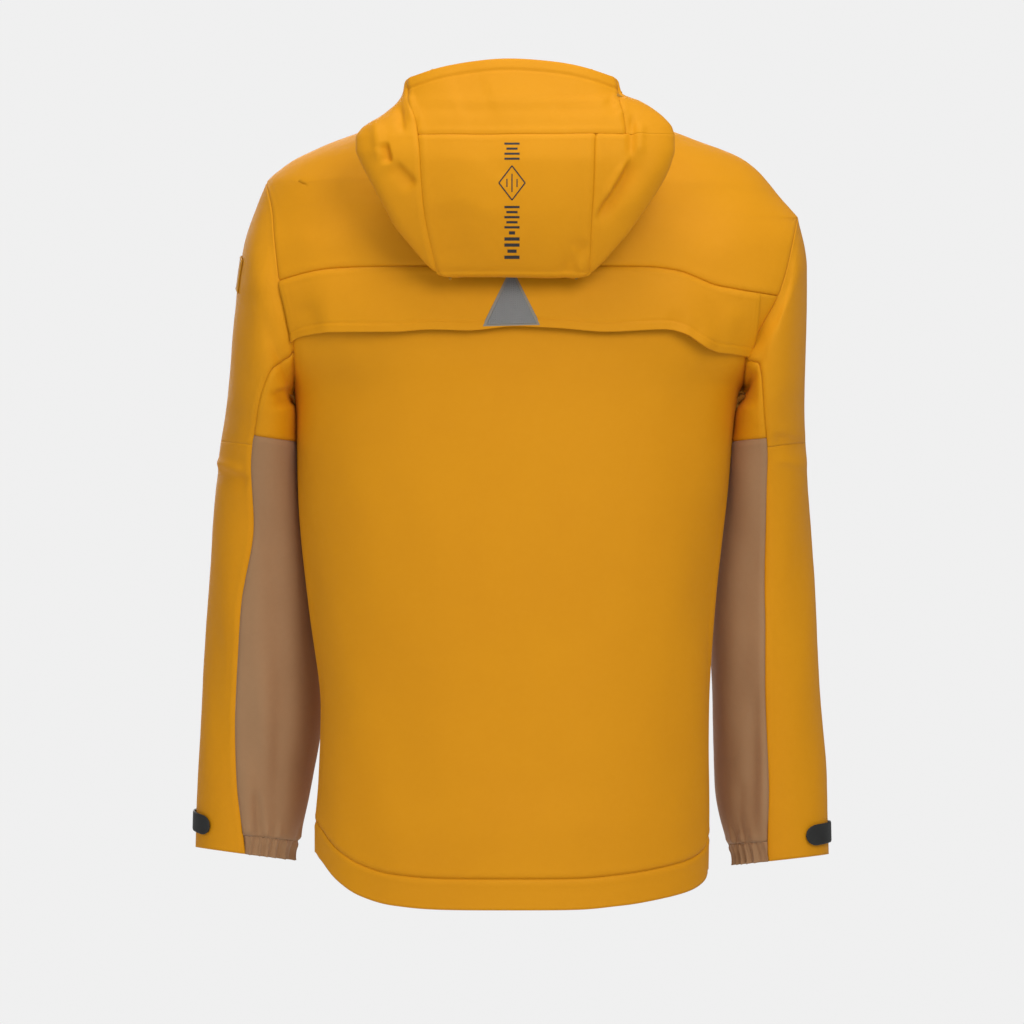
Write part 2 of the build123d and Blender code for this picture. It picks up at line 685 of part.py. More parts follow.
def sleeve_nodes(side, name):
    ring = sleeve_ring(side)
    upper = rows_from(UPPER_SLEEVE[side], 0, 4, 13)
    lower = rows_from(LOWER_SLEEVE[side], 0, 5, 16)
    inner = rows_from(LOWER_SLEEVE[side], 0, GATHER_ROW - 0.006, 14)
    gather = rows_from(LOWER_SLEEVE[side], GATHER_ROW, 5, 4)
    elastic = rows_from(LOWER_SLEEVE[side], GATHER_ROW + 0.03, 4.97, 3)
    outer = front_seam(-360 + 0.7), back_seam(-0.7)

    tab_rows = []
    for k in range(9):
        offset = TAB_HALF_WIDTH * (k / 4 - 1)
        row = rows_from(LOWER_SLEEVE[side], TAB_ROW + offset * TAB_ROWS_PER_MM, 5, 2)[0]
        trim = TAB_HALF_WIDTH - (TAB_HALF_WIDTH**2 - 0.98 * offset**2) ** 0.5
        tab_rows.append(row + [TAB_TIP_TURN - trim])
    span = 12 * TAB_ROWS_PER_MM
    patch_rows = rows_from(LOWER_SLEEVE[side], TAB_ROW - span, TAB_ROW + span, 3)
    return {
        f"sleeve_upper_{name}": panel(ring, upper, *outer, points=19),
        f"underarm_gusset_{name}": panel(ring, upper, back_seam(), front_seam()),
        f"sleeve_lower_{name}": panel(ring, lower, *outer, points=19),
        f"sleeve_inner_panel_{name}": panel(ring, inner, back_seam(), front_seam()),
        f"cuff_gather_{name}": panel(ring, gather, back_seam(), front_seam()),
        f"cuff_elastic_{name}": panel(ring, elastic, back_seam(2), front_seam(-2), lift=-2.4, wall=1.2),
        f"cuff_loop_patch_{name}": panel(ring, patch_rows, 50, 150, lift=0.9, wall=0.7),
        f"cuff_tab_{name}": panel(
            ring, tab_rows, TAB_ROOT_TURN, lambda row: row[7], lift=TAB_LIFT, wall=TAB_WALL
        ),
    }


def sleeve_badge():
    """A plain tonal badge sewn on the outside of the left upper sleeve."""
    rows = rows_from(UPPER_SLEEVE[LEFT], 1.15, 1.6, 4)
    return panel(sleeve_ring(LEFT), rows, 62, 112, lift=0.9, wall=0.7)


# ---------------------------------------------------------------- build
def build():
    nodes = {}
    for group in (
        torso_nodes, hem_inner_nodes, collar_nodes, main_zip_nodes, nape_nodes, pocket_nodes, flap_nodes, hood_nodes,
        hood_neck_nodes,
    ):
        nodes.update(group())
    for side, name in SIDES:
        nodes.update(sleeve_nodes(side, name))
    nodes["sleeve_badge_left"] = sleeve_badge()
    nodes["main_zip_slider"] = main_slider(ZIP_HEAD - 2)
    pin = ZIP_HEAD - 9
    nodes["main_zip_pull"] = Pos(0, zip_y(pin) - PULL_PROUD, pin) * pull_tab(26)
    return nodes


def main():
    os.makedirs("parts", exist_ok=True)
    for name, shape in build().items():
        placed = [TO_ORIGIN * s for s in shape.solids()]
        export_step(placed[0] if len(placed) == 1 else Compound(placed), f"parts/{name}.step")
        print(name, len(placed), round(sum(s.volume for s in placed)))


main()
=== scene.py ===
"""Looks of the hooded hardshell jacket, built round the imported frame.

Modelling numbers are millimetres on the upright body: +X the wearer's left, -Y the front, z the height above
the back hem. to_frame() turns them into the frame's metres.
"""

import json
import math

import bmesh
import bpy
import numpy as np
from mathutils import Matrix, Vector


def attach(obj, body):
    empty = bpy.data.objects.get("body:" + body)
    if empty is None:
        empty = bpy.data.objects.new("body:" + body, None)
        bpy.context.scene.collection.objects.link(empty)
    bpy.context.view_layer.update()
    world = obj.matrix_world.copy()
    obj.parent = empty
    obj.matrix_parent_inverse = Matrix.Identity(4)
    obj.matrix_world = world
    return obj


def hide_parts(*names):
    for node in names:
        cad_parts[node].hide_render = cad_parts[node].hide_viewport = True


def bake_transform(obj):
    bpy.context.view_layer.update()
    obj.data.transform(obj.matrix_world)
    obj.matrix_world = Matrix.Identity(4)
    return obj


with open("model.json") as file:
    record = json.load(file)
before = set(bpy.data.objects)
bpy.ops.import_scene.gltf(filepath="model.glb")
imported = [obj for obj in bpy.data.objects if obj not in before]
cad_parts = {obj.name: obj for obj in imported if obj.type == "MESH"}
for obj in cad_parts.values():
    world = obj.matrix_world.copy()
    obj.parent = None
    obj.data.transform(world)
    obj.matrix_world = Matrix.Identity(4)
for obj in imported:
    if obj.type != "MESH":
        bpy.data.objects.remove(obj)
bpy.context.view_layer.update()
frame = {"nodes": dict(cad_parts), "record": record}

# ---------------------------------------------------------------- sizes, in millimetres
ORIGIN = np.array([0.0, 54.0, 792.0])  # the hang loop's gap, where the frame has its origin
LEFT, RIGHT = 1, -1
SIDES = ((LEFT, "left"), (RIGHT, "right"))
CLOTH = 1.1  # thickness of the laminate with its backer

# height, half width on the left and right, depth to the back and to the front
TORSO = [
    (-12, 197, 196, 124, 131),
    (70, 197, 196, 124, 126),
    (130, 193, 196, 122, 123),
    (200, 191, 197, 122, 120),
    (300, 203, 203, 124, 114),
    (400, 213, 214, 127, 109),
    (515, 218, 228, 128, 103),
    (560, 255, 270, 127, 101),
    (620, 284, 308, 122, 98),
    (660, 280, 304, 115, 96),
    (680, 271, 295, 110, 95),
    (690, 266, 286, 107, 94),
    (707, 257, 271, 102, 93),
    (726, 245, 256, 96, 91),
    (737, 233, 246, 89, 84),
    (749, 216, 230, 82, 75),
    (759, 194, 208, 76, 68),
    (768, 171, 182, 69, 62),
    (777, 147, 158, 61, 56),
    (792, 108, 114, 45, 40),
    (804, 70, 74, 30, 26),
]
SIDE_SEAM_Y, SHOULDER_SEAM_Y = 8, -18
ZIP_EDGE = 14.6
# x of the armhole seam at a height
ARMHOLE = {
    LEFT: [(515, 217), (560, 219), (592, 225), (625, 233), (667, 238), (694, 240), (724, 246)],
    RIGHT: [(515, 231), (553, 235), (573, 246), (588, 254), (606, 264), (634, 274), (660, 280), (690, 286)],
}
# x to height of the yoke seam and of the vent flap's lower edge
YOKE_SEAM = [
    (-290, 606), (-265, 611), (-227, 617), (-202, 622), (-187, 628), (-165, 636), (-130, 640),
    (0, 641), (130, 640), (179, 638), (204, 634), (223, 629), (250, 620),
]
FLAP_FOOT = [
    (-236, 552), (-218, 555), (-202, 557), (-191, 561), (-181, 567), (-170, 574), (-150, 578), (-93, 575),
    (-48, 578), (-3, 580), (42, 576), (80, 577), (118, 575), (175, 576), (200, 573), (214, 569), (219, 565),
]
HEM = {
    LEFT: [(-200, 56), (5, 56), (30, 49), (57, 29), (80, 13), (100, 4), (124, 0), (200, 0)],
    RIGHT: [(-200, 52), (-60, 50), (0, 40), (28, 28), (52, 19), (80, 11), (104, 4), (124, 0), (200, 0)],
}
HEM_BAND = 31
ARM_FOOT, ARM_JOIN, ARM_CLEAR = 500, 515, 530  # heights over which the side seam turns into the armhole
NECK = (80.0, 77.0, -15.0)  # half width, half depth and centre y of the neckline in plan


# ---------------------------------------------------------------- curves and tables
def eased_table(rows, fine=24):
    """A table of rows sampled finely along a smooth curve that never overshoots its values."""
    table = np.array(rows, float)
    steps = np.diff(table, axis=0)
    before = np.vstack([steps[:1], steps])
    after = np.vstack([steps, steps[-1:]])
    product = before * after
    slopes = np.where(product > 0, 2 * product / np.where(product > 0, before + after, 1), 0)
    t = np.linspace(0, len(table) - 1, (len(table) - 1) * fine + 1)
    k = np.minimum(t.astype(int), len(table) - 2)
    u = (t - k)[:, None]
    a, b, m0, m1 = table[k], table[k + 1], slopes[k], slopes[k + 1]
    return t, a + (3 * u**2 - 2 * u**3) * (b - a) + (u - 2 * u**2 + u**3) * m0 + (u**3 - u**2) * m1


def smooth_curve(points):
    """A smooth function through points of (place, value)."""
    _, table = eased_table(points)
    return lambda x: np.interp(x, table[:, 0], table[:, 1])


_, TORSO_FINE = eased_table(TORSO)
ARM_X = {side: smooth_curve(ARMHOLE[side]) for side in (LEFT, RIGHT)}
ARM_TOP = {side: ARMHOLE[side][-1][0] for side in (LEFT, RIGHT)}
YOKE_Z, FLAP_Z = smooth_curve(YOKE_SEAM), smooth_curve(FLAP_FOOT)
HEM_Z = {side: smooth_curve(HEM[side]) for side in (LEFT, RIGHT)}


def smoothstep(x):
    x = np.clip(x, 0, 1)
    return x * x * (3 - 2 * x)


def unit_grid(nu, nv):
    """Places across (s) and along (t) of a patch's points, both from 0 to 1."""
    s = np.linspace(0, 1, nu)[:, None] * np.ones((1, nv))
    t = np.linspace(0, 1, nv)[None, :] * np.ones((nu, 1))
    return s, t


def torso_halves(z):
    """The torso's half widths on the left and right, and its depths to the back and front, at a height."""
    return [np.interp(z, TORSO_FINE[:, 0], TORSO_FINE[:, k]) for k in range(1, 5)]


def torso_point(turn, z):
    """Points on the torso: turn in degrees from the front centre round by the left."""
    left, right, back, front = torso_halves(z)
    across, along = np.sin(np.radians(turn)), -np.cos(np.radians(turn))
    x = across * np.where(across > 0, left, right)
    y = along * np.where(along > 0, back, front)
    return np.stack(np.broadcast_arrays(x, y, z), axis=-1)


def side_turn(z, side, rear):
    """Turn of a torso panel's outer edge at a height: the side seam, the armhole, then the shoulder seam."""
    left, right, back, front = torso_halves(z)
    half = left if side == LEFT else right
    seam = 90 + np.degrees(np.arcsin(SIDE_SEAM_Y / back))
    ratio = np.clip(ARM_X[side](z) / half, -1, 1)
    arm = np.degrees(np.arcsin(ratio))
    arm = 180 - arm if rear else arm
    top = ARM_TOP[side]
    shoulder_y = SHOULDER_SEAM_Y * smoothstep((z - top) / 30)
    shoulder = 90 + np.degrees(np.arcsin(np.clip(shoulder_y / front, -1, 1)))
    turn = np.where(z < ARM_JOIN, seam, np.where(z < top, arm, shoulder))
    low = smoothstep((z - ARM_FOOT) / (ARM_CLEAR - ARM_FOOT))
    turn = np.where((z >= ARM_FOOT) & (z < ARM_CLEAR), seam * (1 - low) + arm * low, turn)
    return turn if side == LEFT else 360 - turn


def neck_height(turn):
    """Height at which the torso surface meets the neckline, at each turn."""
    low, high = np.full_like(turn, 700.0), np.full_like(turn, 804.0)
    for _ in range(24):
        middle = (low + high) / 2
        p = torso_point(turn, middle)
        outside = (p[..., 0] / NECK[0]) ** 2 + ((p[..., 1] - NECK[2]) / NECK[1]) ** 2 > 1
        low, high = np.where(outside, middle, low), np.where(outside, high, middle)
    return (low + high) / 2


def neck_line(turn, grow):
    x = (NECK[0] + grow) * np.sin(np.radians(turn))
    return x, NECK[2] - (NECK[1] + grow) * np.cos(np.radians(turn))


def wave(front, side, back):
    """A height that passes through three values as the turn runs from front to side to back."""
    middle, half = (front + back) / 2, (front - back) / 2
    a, c = (middle + side) / 2, (middle - side) / 2
    return lambda turn: a + half * np.cos(np.radians(turn)) + c * np.cos(2 * np.radians(turn))


# ---------------------------------------------------------------- cloth relief
RNG = np.random.default_rng(11)


def ripple_field(count, wavelength, stretch):
    """A smooth random field: a sum of sine waves, each stretched along the given axes."""
    waves = []
    for _ in range(count):
        direction = RNG.normal(size=3)
        direction /= np.linalg.norm(direction)
        length = wavelength * RNG.uniform(0.7, 1.5)
        waves.append((2 * math.pi * direction / (length * np.array(stretch)), RNG.uniform(0, 2 * math.pi)))

    def field(p):
        total = np.zeros(p.shape[:-1])
        for direction, phase in waves:
            total += np.sin(p @ direction + phase)
        return total / math.sqrt(count)

    return field


BROAD = ripple_field(10, 230, (1.0, 1.0, 2.4))
SOFT = ripple_field(14, 75, (1.0, 1.0, 1.8))
FINE = ripple_field(16, 22, (1.0, 1.0, 1.2))


def fold(p, a, b, width, height, side=0.0, fade=0.35):
    """A soft ridge, or a valley where height is negative, from a to b in the XZ plane.

    side skews the profile, so that one flank falls away faster, as cloth does at a drag line.
    """
    a, b = np.array(a, float), np.array(b, float)
    along = b - a
    length = np.linalg.norm(along)
    along /= length
    q = p[..., [0, 2]] - a
    t = (q @ along) / length
    d = q @ np.array([-along[1], along[0]])
    ends = smoothstep((t + 0.08) / fade) * smoothstep((1.08 - t) / fade)
    w = width * (1 + side * np.tanh(d / width))
    return height * ends * np.exp(-((d / w) ** 2))


def folds(p, rows):
    """Sum of a table of folds."""
    total = np.zeros(p.shape[:-1])
    for row in rows:
        total += fold(p, *row)
    return total


# ---------------------------------------------------------------- patches
def grid_normals(p):
    """Unit normals of a grid of points, by its two directions."""
    du = np.gradient(p, axis=0)
    dv = np.gradient(p, axis=1)
    n = np.cross(du, dv)
    size = np.linalg.norm(n, axis=-1, keepdims=True)
    return n / np.maximum(size, 1e-9)


def facing_out(normal, away):
    """+1 where a patch's normals point the way that away does, on the whole, else -1."""
    return np.sign(np.mean(np.sum(normal * away, axis=-1)))


def grid_distances(p):
    """Distance in millimetres of each grid point to the grid's four borders: start and end of u, and of v."""
    su = np.cumsum(np.linalg.norm(np.diff(p, axis=0), axis=-1), axis=0)
    su = np.vstack([np.zeros((1, p.shape[1])), su])
    sv = np.cumsum(np.linalg.norm(np.diff(p, axis=1), axis=-1), axis=1)
    sv = np.hstack([np.zeros((p.shape[0], 1)), sv])
    return su, su[-1:] - su, sv, sv[:, -1:] - sv


def seam_dip(distance, depth=0.9, width=2.0):
    """Profile beside a seam: it dips to the stitch line, and the folded allowance stands a little proud."""
    return -depth * np.exp(-((distance / width) ** 2)) + 0.35 * np.exp(-(((distance - 5.5) / 2.6) ** 2))


def to_frame(p):
    return (np.asarray(p, float) - ORIGIN) * 0.001


def mesh_object(name, points, faces, uv=None):
    """A mesh object from points in millimetres; uv gives each point its place on the cloth in metres."""
    mesh = bpy.data.meshes.new(name)
    mesh.from_pydata(to_frame(points).tolist(), [], faces)
    if uv is not None:
        layer = mesh.uv_layers.new(name="cloth")
        index = np.zeros(len(mesh.loops), int)
        mesh.loops.foreach_get("vertex_index", index)
        layer.data.foreach_set("uv", np.asarray(uv, float)[index].astype(np.float32).ravel())
    mesh.polygons.foreach_set("use_smooth", [True] * len(mesh.polygons))
    obj = bpy.data.objects.new(name, mesh)
    bpy.context.scene.collection.objects.link(obj)
    return obj


def patch_object(name, p, flip=False, close=False):
    """A grid of points as a mesh, with its cloth coordinates; close joins the last column to the first."""
    nu, nv = p.shape[:2]
    index = np.arange(nu * nv).reshape(nu, nv)
    if close:
        index = np.vstack([index, index[:1]])
    a, b, c, d = index[:-1, :-1], index[1:, :-1], index[1:, 1:], index[:-1, 1:]
    order = (a, d, c, b) if flip else (a, b, c, d)
    faces = np.stack(order, axis=-1).reshape(-1, 4).tolist()
    su, _, sv, _ = grid_distances(p)
    uv = np.stack([su - su[-1:] / 2, sv], axis=-1).reshape(-1, 2) * 0.001
    obj = mesh_object(name, p.reshape(-1, 3), faces, uv)
    round_ = np.linalg.norm(p[0] - p[-1], axis=-1) if close else 0
    width, length = float(np.max(su[-1] + round_)) * 0.001, float(np.max(sv[:, -1])) * 0.001
    area = sum(polygon.area for polygon in obj.data.polygons)
    if area < 0.35 * width * length:  # a long tapering piece goes by its middle
        length = area / (0.6 * width)
    return obj


def thicken(obj, millimetres=CLOTH, inner=1):
    """Gives a sheet its thickness, inwards from the face, with the inner material on its other side."""
    solid = obj.modifiers.new("thickness", "SOLIDIFY")
    solid.thickness = millimetres * 0.001
    solid.offset = -1.0
    solid.use_even_offset = False
    solid.material_offset = inner
    solid.material_offset_rim = 0
    return obj


def dress(obj, slot, body, *materials, replaces=()):
    """Materials, the CAD nodes stood for and the body ridden; the record's slot is not used."""
    for material in materials:
        obj.data.materials.append(material)
    if replaces:
        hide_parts(*replaces)
    if body:
        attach(obj, body)
    return obj


def blend_between(obj):
    """Bakes the object's transform into its mesh."""
    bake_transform(obj)


# ---------------------------------------------------------------- materials
class Shader:
    """A small helper to lay out a node material."""

    def __init__(self, name):
        self.material = bpy.data.materials.new(name)
        self.material.use_nodes = True
        self.tree = self.material.node_tree
        self.main = self.tree.nodes["Principled BSDF"]

    def add(self, kind, **settings):
        node = self.tree.nodes.new(kind)
        for key, value in settings.items():
            if hasattr(node, key):
                setattr(node, key, value)
            else:
                node.inputs[key].default_value = value
        return node

    def link(self, out, target):
        self.tree.links.new(out, target)

    def value(self, a, operation, b):
        """A math node between two outputs or numbers."""
        node = self.add("ShaderNodeMath", operation=operation)
        for k, item in enumerate((a, b)):
            if isinstance(item, (int, float)):
                node.inputs[k].default_value = item
            else:
                self.link(item, node.inputs[k])
        return node.outputs[0]

    def mix(self, factor, a, b):
        """A colour between a and b."""
        node = self.add("ShaderNodeMix", data_type="RGBA")
        for k, item in ((0, factor), (6, a), (7, b)):
            if isinstance(item, (tuple, float, int)):
                node.inputs[k].default_value = (*item, 1) if isinstance(item, tuple) else item
            else:
                self.link(item, node.inputs[k])
        return node.outputs[2]


def weave(shader, pitch, uv):
    """Height of a plain weave with its threads a pitch apart, in metres of cloth."""
    split = shader.add("ShaderNodeSeparateXYZ")
    shader.link(uv, split.inputs[0])
    turn = 2 * math.pi / pitch
    across = shader.value(shader.value(split.outputs[0], "MULTIPLY", turn), "SINE", 0.0)
    along = shader.value(shader.value(split.outputs[1], "MULTIPLY", turn), "SINE", 0.0)
    crossing = shader.value(across, "MULTIPLY", along)
    return shader.value(crossing, "ADD", shader.value(across, "MAXIMUM", along))


def cloth_material(name, colour, dark, pitch, roughness, sheen, bump=0.00012, mottle=0.5, space="UV"):
    """Woven cloth: thread relief, slow colour change, a darker tone that varies at random, and painted shade
    in the hollows of the weave.
    """
    s = Shader(name)
    coordinates = s.add("ShaderNodeTexCoord")
    place = coordinates.outputs["Object"]
    threads = weave(s, pitch, coordinates.outputs[space])
    slow = s.add("ShaderNodeTexNoise", Scale=9.0, Detail=3.0, Roughness=0.55)
    quick = s.add("ShaderNodeTexNoise", Scale=160.0, Detail=4.0, Roughness=0.6)
    for node in (slow, quick):
        s.link(place, node.inputs["Vector"])
    tone = s.value(s.value(slow.outputs[0], "SUBTRACT", 0.5), "MULTIPLY", mottle)
    grain = s.value(s.value(quick.outputs[0], "SUBTRACT", 0.5), "MULTIPLY", 0.35 * mottle)
    # painted shade: the colour is darker in the hollows between the threads, where the weave is low
    weave_hollow_shade = s.value(threads, "MULTIPLY", -0.05)
    amount = s.value(s.value(tone, "ADD", grain), "ADD", weave_hollow_shade)
    clamp = s.add("ShaderNodeClamp")
    s.link(s.value(amount, "ADD", 0.3), clamp.inputs[0])
    s.link(s.mix(clamp.outputs[0], colour, dark), s.main.inputs["Base Color"])
    rough = s.value(s.value(quick.outputs[0], "MULTIPLY", 0.16), "ADD", roughness - 0.08)
    s.link(rough, s.main.inputs["Roughness"])
    s.main.inputs["Sheen Weight"].default_value = sheen
    s.main.inputs["Sheen Roughness"].default_value = 0.45
    s.main.inputs["Specular IOR Level"].default_value = 0.2
    relief = s.add("ShaderNodeBump", Strength=0.5, Distance=bump)
    s.link(threads, relief.inputs["Height"])
    crumple = s.add("ShaderNodeBump", Strength=0.25, Distance=0.0006)
    s.link(quick.outputs[0], crumple.inputs["Height"])
    s.link(relief.outputs[0], crumple.inputs["Normal"])
    s.link(crumple.outputs[0], s.main.inputs["Normal"])
    return s.material


def moulded_material(name, colour, dark, roughness, scale=2600.0, depth=0.00012, metallic=0.0):
    """Moulded or painted surface with a fine grain and slight colour change."""
    s = Shader(name)
    place = s.add("ShaderNodeTexCoord").outputs["Object"]
    grain = s.add("ShaderNodeTexVoronoi", Scale=scale)
    slow = s.add("ShaderNodeTexNoise", Scale=60.0, Detail=4.0)
    for node in (grain, slow):
        s.link(place, node.inputs["Vector"])
    s.link(s.mix(slow.outputs[0], colour, dark), s.main.inputs["Base Color"])
    rough = s.value(s.value(slow.outputs[0], "MULTIPLY", 0.25), "ADD", roughness - 0.12)
    s.link(rough, s.main.inputs["Roughness"])
    s.main.inputs["Metallic"].default_value = metallic
    relief = s.add("ShaderNodeBump", Strength=0.5, Distance=depth)
    s.link(grain.outputs["Distance"], relief.inputs["Height"])
    s.link(relief.outputs[0], s.main.inputs["Normal"])
    return s.material


OCHRE = cloth_material(
    "ochre_shell", (0.76, 0.32, 0.001), (0.6, 0.215, 0.001), 0.0007, 0.6, 0.02, mottle=0.35
)
BACKER = cloth_material("ochre_backer", (0.42, 0.2, 0.02), (0.3, 0.14, 0.015), 0.0009, 0.8, 0.1)
BROWN = cloth_material("brown_shell", (0.4, 0.225, 0.11), (0.28, 0.15, 0.072), 0.0009, 0.72, 0.2, mottle=0.6)
DARK_BACKER = cloth_material("brown_backer", (0.06, 0.045, 0.035), (0.03, 0.022, 0.018), 0.0009, 0.85, 0.1)
TAPE = cloth_material("black_tape", (0.022, 0.021, 0.02), (0.01, 0.01, 0.01), 0.0016, 0.75, 0.2, bump=0.0003)
ZIP_TAPE = cloth_material("zip_tape", (0.5, 0.22, 0.008), (0.35, 0.15, 0.005), 0.0012, 0.7, 0.1, bump=0.0002)
REFLECTIVE = cloth_material(
    "reflective_weave", (0.24, 0.24, 0.235), (0.13, 0.13, 0.13), 0.0022, 0.42, 0.0, bump=0.0004
)
THREAD = cloth_material("thread", (0.62, 0.27, 0.006), (0.45, 0.19, 0.004), 0.0005, 0.6, 0.1, space="Object")
PALE_THREAD = cloth_material(
    "pale_thread", (0.3, 0.27, 0.22), (0.2, 0.18, 0.15), 0.0005, 0.6, 0.1, space="Object"
)
PRINT = moulded_material("dark_print", (0.02, 0.02, 0.02), (0.012, 0.012, 0.012), 0.55)
MOULDED = moulded_material("moulded_black", (0.017, 0.018, 0.016), (0.008, 0.008, 0.008), 0.62)
METAL = moulded_material(
    "dark_metal", (0.05, 0.05, 0.05), (0.03, 0.03, 0.03), 0.38, depth=0.00003, metallic=0.8
)
COIL = moulded_material("zip_coil", (0.4, 0.17, 0.008), (0.3, 0.12, 0.006), 0.45, scale=900)
CLEAR_SHEET = moulded_material("stiff_sheet", (0.3, 0.3, 0.28), (0.22, 0.22, 0.2), 0.5)


# ---------------------------------------------------------------- torso panels
BACK_FOLDS = [
    ((60, 560), (70, 180), 55, 1.6),
    ((-110, 540), (-130, 160), 60, 1.8),
    ((-20, 300), (-30, 90), 40, -1.2),
    ((200, 470), (180, 260), 26, -2.6),
    ((-212, 430), (-190, 240), 28, -3.0),
    ((190, 560), (150, 500), 20, -1.6),
    ((-205, 545), (-160, 490), 20, -1.8),
    ((150, 250), (165, 90), 30, 1.8),
]
YOKE_FOLDS = [
    ((210, 742), (190, 650), 26, 1.4),
    ((-240, 725), (-200, 640), 28, 1.8),
    ((-150, 700), (-215, 660), 16, -1.2),
    ((140, 700), (205, 668), 16, -1.0),
]
FRONT_FOLDS = [
    ((90, 640), (60, 300), 40, 1.8),
    ((-95, 650), (-70, 320), 42, 2.0),
    ((170, 540), (120, 470), 22, -2.2),
    ((-175, 545), (-120, 470), 22, -2.4),
    ((120, 150), (150, 90), 30, 1.4),
]


def torso_relief(p):
    """Outward displacement of the torso's cloth at points of its base surface."""
    back = smoothstep((p[..., 1] + 10) / 50)
    relief = 1.5 * BROAD(p) + 0.5 * SOFT(p) + 0.06 * FINE(p)
    relief = relief + back * (folds(p, BACK_FOLDS) + folds(p, YOKE_FOLDS))
    return relief + (1 - back) * folds(p, FRONT_FOLDS)


def offset_grid(p, amount):
    return p + grid_normals(p) * amount[..., None]


def torso_grid(u_turn, v_height, nu, nv):
    """A torso patch: u_turn(s, z) gives turns and v_height(s, t, turn) heights on the unit square."""
    s, t = unit_grid(nu, nv)
    turn = u_turn(s, np.full_like(s, 400.0))
    z = v_height(s, t, turn)
    for _ in range(60):
        turn = u_turn(s, z)
        z = 0.6 * z + 0.4 * v_height(s, t, turn)
    return torso_point(u_turn(s, z), z)


def hem_height(turn, extra=0.0):
    """Height of the hem line, or of a line that far above it, at each turn."""
    z = np.full_like(turn, 40.0)
    for _ in range(3):
        p = torso_point(turn, z)
        z = np.where(p[..., 0] > 0, HEM_Z[LEFT](p[..., 1]), HEM_Z[RIGHT](p[..., 1])) + extra
    return z


def rear_turns(s, z):
    """Turns from the left side seam (s=0) to the right one (s=1), across the back."""
    a, b = side_turn(z, LEFT, True) - 100, side_turn(z, RIGHT, True) - 260
    r = np.where(s < 0.5, 2 * s, 2 - 2 * s)
    near = 1 - smoothstep(r / 0.75)
    return np.where(s < 0.5, 100 + 80 * r + a * near, 260 - 80 * r + b * near)


def front_turns(side):
    """Turns from the zip (s=0) to the side seam (s=1)."""

    def turns(s, z):
        left, right, _, _ = torso_halves(z)
        edge = np.degrees(np.arcsin(ZIP_EDGE / (left if side == LEFT else right)))
        end = side_turn(z, side, False)
        end = end if side == LEFT else 360 - end
        turn = edge + (85 - edge) * s + (end - 85) * smoothstep((s - 0.25) / 0.75)
        return turn if side == LEFT else 360 - turn

    return turns


def yoke_height(turn):
    z = np.full_like(turn, 640.0)
    for _ in range(4):
        z = YOKE_Z(torso_point(turn, z)[..., 0])
    return z


POCKET = {"x": 128.0, "foot": 175.0, "length": 165.0, "lean": 8.0}


def pocket_frame(side):
    """Middle of a hand pocket's zip, with its directions across, out and up, in modelling space."""
    z = POCKET["foot"] + POCKET["length"] / 2
    left, right, _, front = torso_halves(z)
    half = left if side == LEFT else right
    y = -front * math.sqrt(1 - (POCKET["x"] / half) ** 2)
    slope = math.atan2(front * front * POCKET["x"], half * half * -y) * side
    lean = math.radians(POCKET["lean"]) * side
    pitch = math.radians(-2)
    across = np.array([math.cos(lean), 0, -math.sin(lean)])
    up = np.array([math.sin(lean), 0, math.cos(lean)])
    cos_p, sin_p, cos_s, sin_s = math.cos(pitch), math.sin(pitch), math.cos(slope), math.sin(slope)
    turn_x = np.array([[1, 0, 0], [0, cos_p, -sin_p], [0, sin_p, cos_p]])
    turn_z = np.array([[cos_s, -sin_s, 0], [sin_s, cos_s, 0], [0, 0, 1]])
    turn = turn_z @ turn_x
    return np.array([side * POCKET["x"], y, z]), turn @ across, turn @ np.array([0, -1.0, 0]), turn @ up


def pocket_place(p):
    """Distances across and along the nearer hand pocket's zip."""
    across, along = np.full(p.shape[:-1], 1e3), np.full(p.shape[:-1], 1e3)
    for side in (LEFT, RIGHT):
        middle, e1, _, e3 = pocket_frame(side)
        near = p[..., 0] * side > 0
        across = np.where(near, np.abs((p - middle) @ e1), across)
        along = np.where(near, np.abs((p - middle) @ e3), along)
    return across, along


def away_from_pocket(p):
    across, along = pocket_place(p)
    return smoothstep(np.maximum((across - 10) / 16, (along - 84) / 16))


def pocket_groove(p):
    """The bonded slot that the pocket's zip sits in, with a low raised lip round it."""
    across, along = pocket_place(p)
    outside = np.maximum(across - 7.6, along - 81.5)
    return 4.6 * (1 - smoothstep((outside + 1.2) / 1.6)) - 0.5 * np.exp(-(((outside - 2.6) / 1.6) ** 2))


